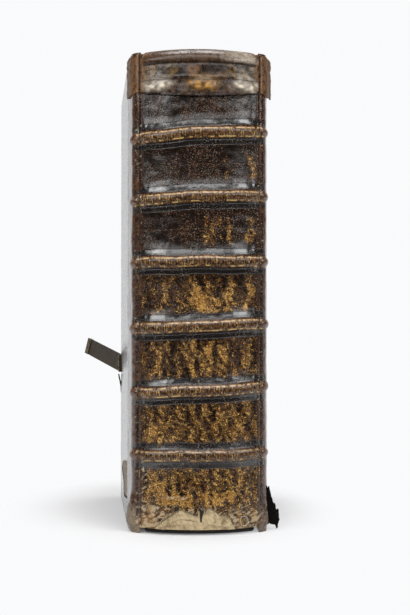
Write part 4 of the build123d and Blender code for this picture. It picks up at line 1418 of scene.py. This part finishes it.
@dataclass
class Cover:
    """One cover: the leather round its board, the leather over its joint and the patch's end.

    Places on a cover are a outward, b along it from its joint, and z up, all in millimetres.
    """

    spine: Spine
    body: Body
    side: int
    swing: float
    patch_flare: float
    tail_flare: float
    inner_a: float = -1.3
    outer_a: float = 8.5
    width: float = 248.5
    height: float = 398.0
    joint_gap: float = 0.35
    bevel_radius: float = 12.515
    bevel_start: float = 60.0
    slope: float = 5.5
    edge_round: float = 2.2
    turn_in: float = 18.0
    corner: float = 5.0
    corner_wear: float = 6.0
    slip_from: float = 2.0
    slip_to: float = 44.0
    slip_radius: float = 4.9
    slip_height: float = 1.8
    patch_from: float = 42.0
    patch_run: float = 16.0
    patch_low: float = 364.0
    patch_high: float = 396.5
    patch_groove: float = 387.0
    patch_thickness: float = 1.4
    row_step: float = 1.4

    def __post_init__(self) -> None:
        """Find the centre of the rounded spine edge and the slope's length."""
        start = math.radians(self.bevel_start)
        slope = math.radians(self.slope)
        self.bevel_a = -self.bevel_radius * math.cos(start)
        self.bevel_b = self.joint_gap + self.bevel_radius * math.sin(start)
        self.slope_run = (self.outer_a - self.bevel_a - self.bevel_radius * math.cos(slope)) / math.sin(slope)
        self.node = self.body.value.split("_")[0]
        self.slips = [
            height + self.side * (self.spine.joint_half + self.outer_a / 2) * math.sin(math.radians(tilt))
            for height, tilt in zip(self.spine.band_heights, self.spine.band_tilts)
        ]

    def place(self, a: np.ndarray, b: np.ndarray, z: np.ndarray) -> np.ndarray:
        """Points of the cover, in metres in the part's frame."""
        turn = math.radians(self.swing)
        x = self.spine.origin[0] + self.side * (self.spine.joint_half + a * math.cos(turn) + b * math.sin(turn))
        y = self.spine.origin[1] - a * math.sin(turn) + b * math.cos(turn)
        return np.stack(np.broadcast_arrays(x, y, z), -1) * MM

    def edge(self, turns: np.ndarray, lift: float | np.ndarray) -> tuple[np.ndarray, np.ndarray]:
        """Places on the rounded spine edge by their angle in degrees; angles under the slope's run on along it."""
        angle = np.radians(np.maximum(turns, self.slope))
        run = np.radians(np.maximum(self.slope - turns, 0.0)) * self.bevel_radius
        reach = self.bevel_radius + lift
        slope = math.radians(self.slope)
        a = self.bevel_a + reach * np.cos(angle) + run * math.sin(slope)
        b = self.bevel_b - reach * np.sin(angle) + run * math.cos(slope)
        return a, b

    def section(self) -> tuple[np.ndarray, np.ndarray]:
        """The leather's path round the board in plan.

        Returns:
            Its places (a, b) from the joint to the turn-in at the fore-edge, and the angle of each on the
            rounded edge, in degrees, which runs on below the slope's own.
        """
        whole_run = math.degrees(self.slope_run / self.bevel_radius)
        turns = np.concatenate([
            np.linspace(self.bevel_start, self.slope, 26), self.slope - np.linspace(0.0, whole_run, 24)[1:],
        ])
        bevel = np.stack(self.edge(turns, 0.0), -1)
        round_off = self.edge_round
        face = np.linspace(bevel[-1, 1], self.width - round_off, 74)[1:]
        bend = np.radians(np.linspace(0.0, 90.0, 6))[1:]
        parts = [
            np.array([(self.inner_a, 1.3), (self.inner_a, self.joint_gap), (self.inner_a / 2, self.joint_gap)]),
            bevel,
            np.stack([np.full_like(face, self.outer_a), face], -1),
            np.stack([
                self.outer_a - round_off + round_off * np.cos(bend),
                self.width - round_off + round_off * np.sin(bend),
            ], -1),
            np.stack([np.linspace(self.outer_a - round_off, self.inner_a, 6)[1:], np.full(5, self.width)], -1),
            np.stack([np.full(5, self.inner_a), np.linspace(self.width, self.width - self.turn_in, 6)[1:]], -1),
        ]
        path = np.concatenate(parts)
        angles = np.full(len(path), -999.0)
        angles[:3] = self.bevel_start
        angles[3:3 + len(turns)] = turns
        return path, angles

    def skin(self) -> bpy.types.Object:
        """The leather round the board, turned in at its three free edges."""
        path, angles = self.section()
        low, high = self.inner_a - 0.02, self.outer_a
        wrap = np.array([
            (self.turn_in, low), (9.0, low), (1.5, low), (0.4, low + 0.3), (0.0, low + 1.1),
            (0.0, (low + high) / 2), (0.0, high - 1.7), (0.45, high - 0.5),
        ])
        main = np.arange(1.7, self.height - 1.7, self.row_step)
        z = np.concatenate([wrap[:, 0], main, self.height - wrap[::-1, 0]])
        limit = np.concatenate([wrap[:, 1], np.full(len(main), 99.0), wrap[::-1, 1]])
        a = np.minimum(path[None, :, 0], limit[:, None])
        b = np.tile(path[:, 1], (len(z), 1))
        zz = np.tile(z[:, None], (1, len(path)))

        way = np.gradient(path, axis=0)
        way = way / np.linalg.norm(way, axis=1)[:, None]
        out_a, out_b = way[:, 1], -way[:, 0]
        outside = ((angles > -900.0) & (angles < self.bevel_start)) | (
            (path[:, 0] > self.outer_a - 0.01) & (path[:, 1] < self.width - self.edge_round - 1.0)
        )
        in_rows = smooth(zz, 2.0, 8.0) * smooth(self.height - zz, 2.0, 8.0) * (limit[:, None] > 50.0)
        beyond = np.radians(np.maximum(np.maximum(self.slip_from - angles, angles - self.slip_to), 0.0))
        beyond = beyond * (self.bevel_radius + self.slip_height - self.slip_radius)
        lift = np.zeros_like(a)
        nearest = np.full_like(a, 99.0)
        for number, height in enumerate(self.slips):
            away = zz - height - 0.4 * Waves(60 + number, 9.0)(b, zz)
            inside = self.slip_radius**2 - away**2 - beyond[None, :] ** 2
            raw = np.sqrt(np.maximum(inside, 0.0)) - (self.slip_radius - self.slip_height)
            raw = np.where(inside > 0.0, raw, -3.0)
            lift = np.maximum(lift, np.maximum(raw * smooth(raw, -0.2, 0.9), 0.0))
            nearest = nearer(away, nearest)
        shoulder = np.tile(smooth(angles, -30.0, 5.0), (len(z), 1))
        relief = 0.22 * Waves(70 + self.side, 30.0)(b, zz) + 0.12 * Waves(72 + self.side, 9.0)(b, zz)
        flare = self.tail_flare * smooth(zz, 40.0, 10.0)
        flare = flare * smooth(angles, 52.0, 30.0) * smooth(angles, -80.0, -10.0)
        rough = 0.5 * Waves(75 + self.side, 5.0)(b, zz) * smooth(zz, 34.0, 14.0) * shoulder
        push = (lift + relief + flare + rough) * outside * np.where(lift > 0.0, 1.0, in_rows)
        a = a + push * out_a
        b = b + push * out_b

        off_b = b - (self.width - self.corner)
        off_z = np.abs(zz - self.height / 2) - (self.height / 2 - self.corner)
        square = np.maximum(off_b, off_z)
        both = (off_b > 0.0) & (off_z > 0.0)
        trim = np.where(both, square / np.maximum(np.hypot(off_b, off_z), 1e-6), 1.0)
        b = np.where(both, self.width - self.corner + off_b * trim, b)
        side_z = np.sign(zz - self.height / 2)
        zz = np.where(both, self.height / 2 + side_z * (self.height / 2 - self.corner + off_z * trim), zz)

        inset = np.minimum.reduce([self.width - b, self.height - zz, zz, np.maximum(b - 20.0, 0.0) + 4.0])
        inset = np.where(a < self.outer_a - 1.5, np.where(shoulder > 0.3, 9.0, 0.0), inset)
        worn = smooth(zz, 44.0, 8.0) * shoulder * (0.9 if self.side < 0 else 0.6)
        near = -self.corner_wear
        at_corner = smooth(np.hypot(np.maximum(off_b, near), np.maximum(off_z, near)), 3.0, 9.0)
        worn = np.maximum(worn, 0.8 * at_corner * (off_b > near) * (off_z > near))
        points = self.place(a, b, zz)
        rows, columns, edges = len(z), len(path), len(wrap)
        found = []
        for face in quads(rows, columns):
            row, column = divmod(face[0], columns)
            folded = row < edges or row >= rows - 1 - edges
            if not folded or 1 <= column < columns - 6:
                found.append(face[::self.side])
        made = new_object(
            f"{self.node}_calf", points.reshape(-1, 3), found,
            {"inset": inset.ravel(), "shoulder": shoulder.ravel(), "band": nearest.ravel(), "worn": worn.ravel()},
        )
        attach(made, self.body.value)
        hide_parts(f"{self.node}_cover_leather")
        return made

    def flip(self, grid: np.ndarray) -> np.ndarray:
        """A grid of columns that run from the spine outward, turned so that its outer face looks outward."""
        return grid if self.side > 0 else grid[:, ::-1]

    def leaf(self, name: str, outer: np.ndarray, inner: np.ndarray, **carried: np.ndarray) -> bpy.types.Object:
        """A skin whose columns run from the spine outward.

        Args:
            name: The object's name.
            outer: The points of its outer face.
            inner: The points of its inner face, as dense as the outer ones.
            carried: The values on its outer face, by name.

        Returns:
            The object.
        """
        values = {label: self.flip(grid) for label, grid in carried.items()}
        return Shell(name, self.flip(outer), thin(self.flip(inner)), attributes=values).build()

    def strip(
        self, name: str, base: float, lift: float, wide: float, z: np.ndarray, slot: str, depth: float
    ) -> bpy.types.Object:
        """Leather that crosses the joint and bends with the cover.

        Args:
            name: The piece's name.
            base: How far the leather that it joins lies off the spine's own radius.
            lift: How far it lies off that leather.
            wide: How far it runs on to the spine, in degrees.
            z: The heights of its rows.
            slot: The record's material slot; not used.
            depth: How deep its fold lies.

        Returns:
            The piece.
        """
        spine_turn = self.spine.joint_angle - np.radians(np.linspace(wide, 0.4, 9))
        ease = np.concatenate([[0.0, 0.6], np.full(6, 1.0), [0.8]])
        reach = self.spine.radius + base + lift * ease + 0.04
        u = reach * np.sin(spine_turn) - self.spine.joint_half
        v = self.spine.axis_v - reach * np.cos(spine_turn)
        edge_turn = np.linspace(59.0, 38.0, 8)
        edge_ease = np.concatenate([[0.8], np.full(5, 1.0), [0.6, 0.0]])
        a, b = self.edge(edge_turn, base + lift * edge_ease + 0.04)
        turn = math.radians(self.swing)
        u = np.concatenate([u, a * math.cos(turn) + b * math.sin(turn)])
        v = np.concatenate([v, -a * math.sin(turn) + b * math.cos(turn)])
        line, even = evenly(np.stack([u, v], -1), 25)
        u, v = line.T
        fold = bell(even - np.interp(0.0, u, even), 1.5)
        uu, zz = np.meshgrid(u, z)
        middle = np.sin(np.linspace(0.0, math.pi, 25))
        wave = 0.14 * Waves(80 + self.side, 7.0)(uu * 2.0, zz) * middle
        nearest = np.full_like(zz, 99.0)
        for height, tilt in zip(self.spine.band_heights, self.spine.band_tilts):
            away = zz - height - self.side * self.spine.joint_half * math.tan(math.radians(tilt))
            nearest = nearer(away, nearest)
        raised = (1.5 * smooth(np.abs(nearest), 5.2, 1.5) * middle**0.7) * (base < 1.0)
        vv = v[None, :] + depth * fold[None, :] - wave - raised

        def at(shift: float) -> np.ndarray:
            """The strip's points, some way behind its face."""
            x = self.spine.origin[0] + self.side * (self.spine.joint_half + uu)
            y = self.spine.origin[1] + vv + shift
            return np.stack([x, y, zz], -1) * MM

        made = self.leaf(
            name, at(0.0), at(0.75),
            band=nearest,
            arc=uu,
            gilt=np.zeros_like(zz),
            worn=np.maximum(0.7 * smooth(zz, 34.0, 8.0), 0.25),
            margin=np.full_like(zz, 0.5),
            # the fold values also carry painted shade along the joint's crease
            fold=np.tile(fold, (len(z), 1)),
        )
        joint = self.place(np.zeros(1), np.zeros(1), np.zeros(1))[0]
        step = np.array([self.side * 1.6 * MM, 0.0, 0.0])
        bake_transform(made, Body.BLOCK.value, self.body.value, tuple(joint - step), tuple(joint + step))
        return made

    def patch_end(self) -> bpy.types.Object:
        """The end of the head patch on the cover."""
        whole = math.degrees(self.patch_run / self.bevel_radius)
        turns = np.linspace(self.patch_from, self.slope - whole, 33)
        z = np.linspace(self.patch_low, self.patch_high, 41)
        tt, zz = np.meshgrid(turns, z)
        flare = self.patch_flare * smooth(tt, self.slope, self.slope - whole)
        low = self.patch_low + 1.6 * Waves(90 + self.side, 12.0)(tt, np.zeros_like(tt)) * 0.5 - 0.6
        zz = np.where(zz < self.patch_low + 0.01, low, zz)
        run = tt * 0.22
        relief = 0.35 * Waves(92 + self.side, 11.0)(run, zz) + 0.15 * Waves(94 + self.side, 4.5)(run, zz)
        top = -0.9 * smooth(zz, self.patch_high - 2.0, self.patch_high)
        groove = -0.5 * bell(zz - self.patch_groove, 1.2)
        a, b = self.edge(tt, self.patch_thickness + flare + relief + top + groove)
        under_a, under_b = self.edge(tt, flare)
        outer, inner = self.place(a, b, zz), self.place(under_a, under_b, zz)
        made = self.leaf(f"{self.node}_patch_calf", outer, inner)
        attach(made, self.body.value)
        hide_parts(f"{self.node}_patch_end")
        return made


@dataclass
class Flake:
    """The pale piece of an old tail patch that curls off the back board, and the tongue by the strap."""

    cover: Cover
    low: float = 23.0
    high: float = 55.0
    start: float = 35.0
    end: float = 63.0
    lift: float = 4.5
    corner: float = 9.0
    thickness: float = 1.0
    tongue_up: tuple[float, float] = (105.4, 124.0)
    tongue_along: tuple[float, float] = (236.4, 246.2)

    def piece(self) -> bpy.types.Object:
        """The flake's mesh."""
        b = np.linspace(self.start, self.end, 33)
        near = np.clip(np.minimum(b - self.start, self.end - b), 0.0, self.corner)
        cut = self.corner - np.sqrt(np.maximum(self.corner**2 - (self.corner - near) ** 2, 0.0))
        jag = 0.9 * Waves(101, 5.0)(b, np.zeros_like(b))
        bottom = self.low + np.minimum(cut, self.corner - 0.5) + np.maximum(jag, 0.0)
        top = self.high - np.minimum(cut, self.corner - 0.5) + np.minimum(jag, 0.0)
        share = np.linspace(0.0, 1.0, 41)[:, None]
        zz = bottom + (top - bottom) * share
        bb = np.tile(b, (41, 1))
        rise = self.lift * ((bb - self.start) / (self.end - self.start)) ** 2
        rise = rise * (0.75 + 0.25 * np.sin(zz / 7.0)) + 0.2 * Waves(102, 8.0)(bb, zz)
        rise = np.maximum(rise, -0.1)
        face = self.cover.outer_a + rise
        outer, inner = self.cover.place(face, bb, zz), self.cover.place(face - self.thickness, bb, zz)
        # painted shadow along the far end and the lower edge, where the flake stands off the board
        edge = np.maximum(smooth(bb, self.end - 3.5, self.end - 1.5), smooth(zz - bottom, 3.0, 1.0))
        made = self.cover.leaf("lifted_flake", outer, inner, edge=edge)
        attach(made, self.cover.body.value)
        return made

    def tongue(self) -> bpy.types.Object:
        """The tongue torn up by the strap."""
        near, far = self.tongue_along
        zz, bb = np.meshgrid(np.linspace(*self.tongue_up, 25), np.linspace(near, far, 17), indexing="ij")
        face = np.interp(zz, (105.0, 112.0, 124.0), (8.6, 9.1, 11.5)) + 0.25 * Waves(104, 4.0)(bb, zz)
        narrow = smooth(zz, 105.0, 116.0) * 0.6 + 0.4
        bb = far - (far - bb) * narrow
        outer, inner = self.cover.place(face, bb, zz), self.cover.place(face - 1.1, bb, zz)
        made = self.cover.leaf("torn_tongue", outer, inner)
        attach(made, self.cover.body.value)
        return made


@dataclass
class Flap:
    """The ragged flap that stands off the front board at its tail; its black is painted shade."""

    cover: Cover
    low: float = 0.8
    tall: float = 36.0
    reach: float = 9.0
    root: float = -0.36
    top: tuple[tuple[float, float], ...] = (
        (-0.36, 1.0), (0.0, 0.98), (0.25, 0.76), (0.45, 0.6), (0.6, 0.56), (0.66, 0.47), (0.95, 0.43), (1.0, 0.32),
    )
    bottom: tuple[tuple[float, float], ...] = (
        (-0.36, 0.14), (0.0, 0.14), (0.6, 0.1), (0.72, 0.0), (0.93, 0.08), (1.0, 0.2),
    )

    def piece(self) -> bpy.types.Object:
        """The flap's mesh."""
        share = np.linspace(self.root, 1.0, 49)
        jag = 0.035 * Waves(111, 0.16)(share, np.zeros_like(share))
        top = np.interp(share, *np.array(self.top).T) + jag
        bottom = np.interp(share, *np.array(self.bottom).T) + 0.5 * jag
        rows = np.linspace(0.0, 1.0, 49)[:, None]
        zz = self.low + self.tall * np.maximum(bottom + (top - bottom) * rows, 0.0)
        ss = np.tile(share, (49, 1))
        t = (ss - self.root) / (1.0 - self.root)
        a = self.cover.outer_a + self.reach * ss
        b = 8.1 + 3.0 * t + 6.0 * t * t + 0.7 * Waves(112, 9.0)(ss * 9.0, zz) * t
        a = a + 0.35 * Waves(113, 5.0)(ss * 9.0, zz) * t
        outer, inner = self.cover.place(a, b, zz), self.cover.place(a - 0.2, b + 1.2, zz)
        made = self.cover.leaf("torn_flap", outer, inner)
        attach(made, self.cover.body.value)
        return made


@dataclass
class Studio:
    """A white floor and backdrop, soft lamps and the camera."""

    camera_place: tuple[float, float, float] = (-0.0240, -1.2649, 0.1630)
    yaw: float = 2.58
    pitch: float = 1.2
    lens: float = 77.75
    sensor: float = 36.0
    aim: tuple[float, float, float] = (0.0, -0.12, 0.2)
    floor_half: float = 12.0
    floor_colour: Colour = rgb(0.86, 0.86, 0.87)
    shadow_fade: tuple[float, float] = (0.068, 0.160)
    paper_white: Colour = rgb(0.955, 0.96, 0.97)
    dim: Colour = rgb(0.025, 0.025, 0.026)
    lamps: tuple[tuple[tuple[float, float, float], tuple[float, float], float], ...] = (
        ((-1.5, -1.2, 1.05), (0.8, 0.5), 10.0),
        ((1.6, -1.1, 1.00), (0.8, 0.5), 8.5),
        ((0.0, -1.05, 1.45), (2.2, 0.28), 13.0),
        ((0.0, -1.35, 0.94), (2.0, 0.16), 6.0),
        ((0.0, 0.12, 1.9), (0.9, 0.5), 15.0),
    )
    world_level: float = 0.28

    @staticmethod
    def rays(graph: Graph) -> tuple[Value, Value]:
        """The rays that see the bright room, and the glossy ones among them.

        Args:
            graph: The graph that gets the Light Path node.

        Returns:
            The two masks.
        """
        path = graph.add("ShaderNodeLightPath")
        glossy = Value(graph, path.outputs["Is Glossy Ray"])
        seen = graph.math("MAXIMUM", path.outputs["Is Camera Ray"], glossy)
        return seen | path.outputs["Is Transmission Ray"], glossy

    def light(self) -> None:
        """Hang the lamps and set the world."""
        for number, (place, size, power) in enumerate(self.lamps):
            data = bpy.data.lights.new(f"softbox_{number}", "AREA")
            data.shape = "RECTANGLE"
            data.size, data.size_y = size
            data.energy = power
            lamp = bpy.data.objects.new(f"softbox_{number}", data)
            lamp.location = place
            lamp.rotation_euler = (Vector(self.aim) - Vector(place)).to_track_quat("-Z", "Y").to_euler()
            bpy.context.scene.collection.objects.link(lamp)
        world = bpy.data.worlds.new("studio")
        world.use_nodes = True
        graph = Graph(world.node_tree)
        world.node_tree.nodes.clear()
        fill = graph.out("ShaderNodeBackground", {"Color": rgb(1.0, 1.0, 1.0), "Strength": self.world_level})
        depth = graph.axes(graph.out("ShaderNodeTexCoord", output="Generated"))[1]
        shown, glossy = self.rays(graph)
        room = graph.mix(depth.step(0.85, 0.45) * glossy, self.paper_white, self.dim)
        seen = graph.out("ShaderNodeBackground", {"Color": room, "Strength": 1.0})
        both = graph.out("ShaderNodeMixShader", {0: shown, 1: fill, 2: seen})
        graph.add("ShaderNodeOutputWorld", {"Surface": both})
        bpy.context.scene.world = world

    def floor(self) -> None:
        """Lay the pale floor."""
        half = self.floor_half
        corners = [(-half, -half, 0.0), (half, -half, 0.0), (half, half, 0.0), (-half, half, 0.0)]
        mesh = bpy.data.meshes.new("floor")
        mesh.from_pydata(corners, [], [(0, 1, 2, 3)])
        floor = bpy.data.objects.new("floor", mesh)
        bpy.context.scene.collection.objects.link(floor)
        material, graph, shader = new_material("floor_paper")
        graph.feed(shader.inputs["Base Color"], self.floor_colour)
        graph.feed(shader.inputs["Roughness"], 0.9)
        shown, glossy = self.rays(graph)
        place = graph.out("ShaderNodeTexCoord", output="Object")
        front = graph.axes(place)[1].step(-0.205, -0.32)
        tone = graph.mix(front * glossy, self.paper_white, self.dim)
        glow = graph.out("ShaderNodeEmission", {"Color": tone, "Strength": 1.0})
        squeezed = graph.stretch(place, (1.0, 0.55, 1.0))
        away = graph.out("ShaderNodeVectorMath", {0: squeezed}, "Value", operation="LENGTH")
        share = shown * away.step(*self.shadow_fade)
        both = graph.out("ShaderNodeMixShader", {0: share, 1: shader.outputs[0], 2: glow})
        output = next(node for node in material.node_tree.nodes if node.type == "OUTPUT_MATERIAL")
        graph.feed(output.inputs["Surface"], both)
        mesh.materials.append(material)

    def camera(self) -> None:
        """Set the camera at the photograph's angle."""
        data = bpy.data.cameras.new("camera")
        data.lens = self.lens
        data.sensor_width = self.sensor
        camera = bpy.data.objects.new("camera", data)
        camera.location = self.camera_place
        camera.rotation_euler = Euler((math.radians(90.0 + self.pitch), 0.0, math.radians(-self.yaw)), "XYZ")
        bpy.context.scene.collection.objects.link(camera)
        bpy.context.scene.camera = camera


def dress(node: str, material: bpy.types.Material) -> None:
    """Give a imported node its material."""
    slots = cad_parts[node].data.materials
    slots.clear()
    slots.append(material)


def main() -> None:
    """Build the finishes, the pieces and the studio in order."""
    logging.basicConfig(level=logging.INFO, format="%(name)s: %(message)s")
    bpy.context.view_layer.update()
    bpy.context.scene.view_settings.view_transform = "Standard"
    effects = Effects()
    spine_calf = SpineFinish().make(effects)
    patch_calf = PatchFinish("patch_calf", (0.22, 0.36), 0.5).make(effects)
    patch_ends = PatchFinish("patch_ends", (0.45, 0.6), 0.3).make(effects)
    cover_calf = CoverFinish().make(effects)
    page_edges = PaperFinish("page_edges", rgb(0.56, 0.43, 0.25), rgb(0.24, 0.155, 0.075)).make(effects)
    leaf_paper = PaperFinish("leaf_paper", rgb(0.60, 0.49, 0.31), rgb(0.36, 0.25, 0.13), 0.15).make(effects)
    bare_lining = LiningFinish().make(effects)
    strap_leather = StrapFinish().make(effects)
    # the flake's pale tones are partly its own and partly a painted reflection
    pale_flake = TornFinish("pale_flake", rgb(0.21, 0.175, 0.13), rgb(0.48, 0.43, 0.35)).make(effects)
    # near-black leather for the flap and the tongue: its darkness is painted shade
    shade_black_leather = TornFinish("shade_black_leather", rgb(0.0022, 0.0018, 0.0015), rgb(0.011, 0.0085, 0.0065)).make(effects)
    old_beech = WoodFinish().make(effects)
    old_brass = BrassFinish().make(effects)
    hemp = ThreadFinish("hemp_cord", rgb(0.42, 0.32, 0.19), rgb(0.20, 0.14, 0.075)).make(effects)
    silk = ThreadFinish("endband_thread", rgb(0.075, 0.05, 0.028), rgb(0.022, 0.014, 0.008)).make(effects)
    # near-black thread of the tail endband: partly soil, partly painted shade under the tail
    soiled = ThreadFinish("soiled_and_shaded_thread", rgb(0.010, 0.007, 0.0045), rgb(0.004, 0.003, 0.002)).make(effects)
    fibre = ThreadFinish("torn_fibre", rgb(0.50, 0.43, 0.31), rgb(0.26, 0.20, 0.13)).make(effects)
    LOG.info("finishes made")

    spine = Spine()
    back = Cover(spine, Body.BACK, -1, 2.5093, 0.5, 3.4)
    front = Cover(spine, Body.FRONT, 1, 0.7093, 2.4, 1.4)
    flake = Flake(back)
    made = [
        (spine.leather_piece(), spine_calf),
        (HeadPatch(spine).piece(), patch_calf),
        (Lining(spine).piece(), bare_lining),
        (flake.piece(), pale_flake),
        (flake.tongue(), shade_black_leather),
        (Flap(front).piece(), shade_black_leather),
    ]
    for cover in (back, front):
        made.append((cover.skin(), cover_calf))
        made.append((cover.patch_end(), patch_ends))
        rows = np.linspace(5.0, 391.0, 161)
        joint = cover.strip(f"{cover.node}_joint_calf", 0.0, 0.14, 2.2, rows, "dark_leather", 0.22)
        made.append((joint, spine_calf))
        rows = np.linspace(364.5, 396.0, 25)
        joint = cover.strip(f"{cover.node}_joint_patch", 1.3, 0.15, 4.0, rows, "patch_leather", 0.4)
        made.append((joint, patch_calf))
    threads = Threads(spine, Repeats())
    grown = [*threads.endbands(soiled, silk), threads.fray(fibre), threads.loop(fibre)]
    LOG.info("repeats: %d faces", sum(len(piece.data.polygons) for piece in grown))
    for piece, material in made:
        piece.data.materials.append(material)
        LOG.info("%s: %d faces", piece.name, len(piece.data.polygons))

    finishes = {
        page_edges: ("text_block",),
        leaf_paper: ("back_pastedown", "front_pastedown"),
        strap_leather: ("clasp_strap",),
        old_beech: ("back_board", "front_board"),
        old_brass: ("clasp_hook", "hook_rivets", "strap_plate", "strap_nails", "catch_plate", "catch_nails"),
        hemp: tuple(f"sewing_cord_{number}" for number in range(1, 7)),
        silk: ("head_endband",),
        # the tail endband's near-black is partly painted shade
        soiled: ("tail_endband",),
    }
    for material, nodes in finishes.items():
        for node in nodes:
            dress(node, material)
    LOG.info("packed nodes dressed")

    studio = Studio()
    studio.light()
    studio.floor()
    studio.camera()
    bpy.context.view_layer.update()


if __name__ == "__main__":
    main()
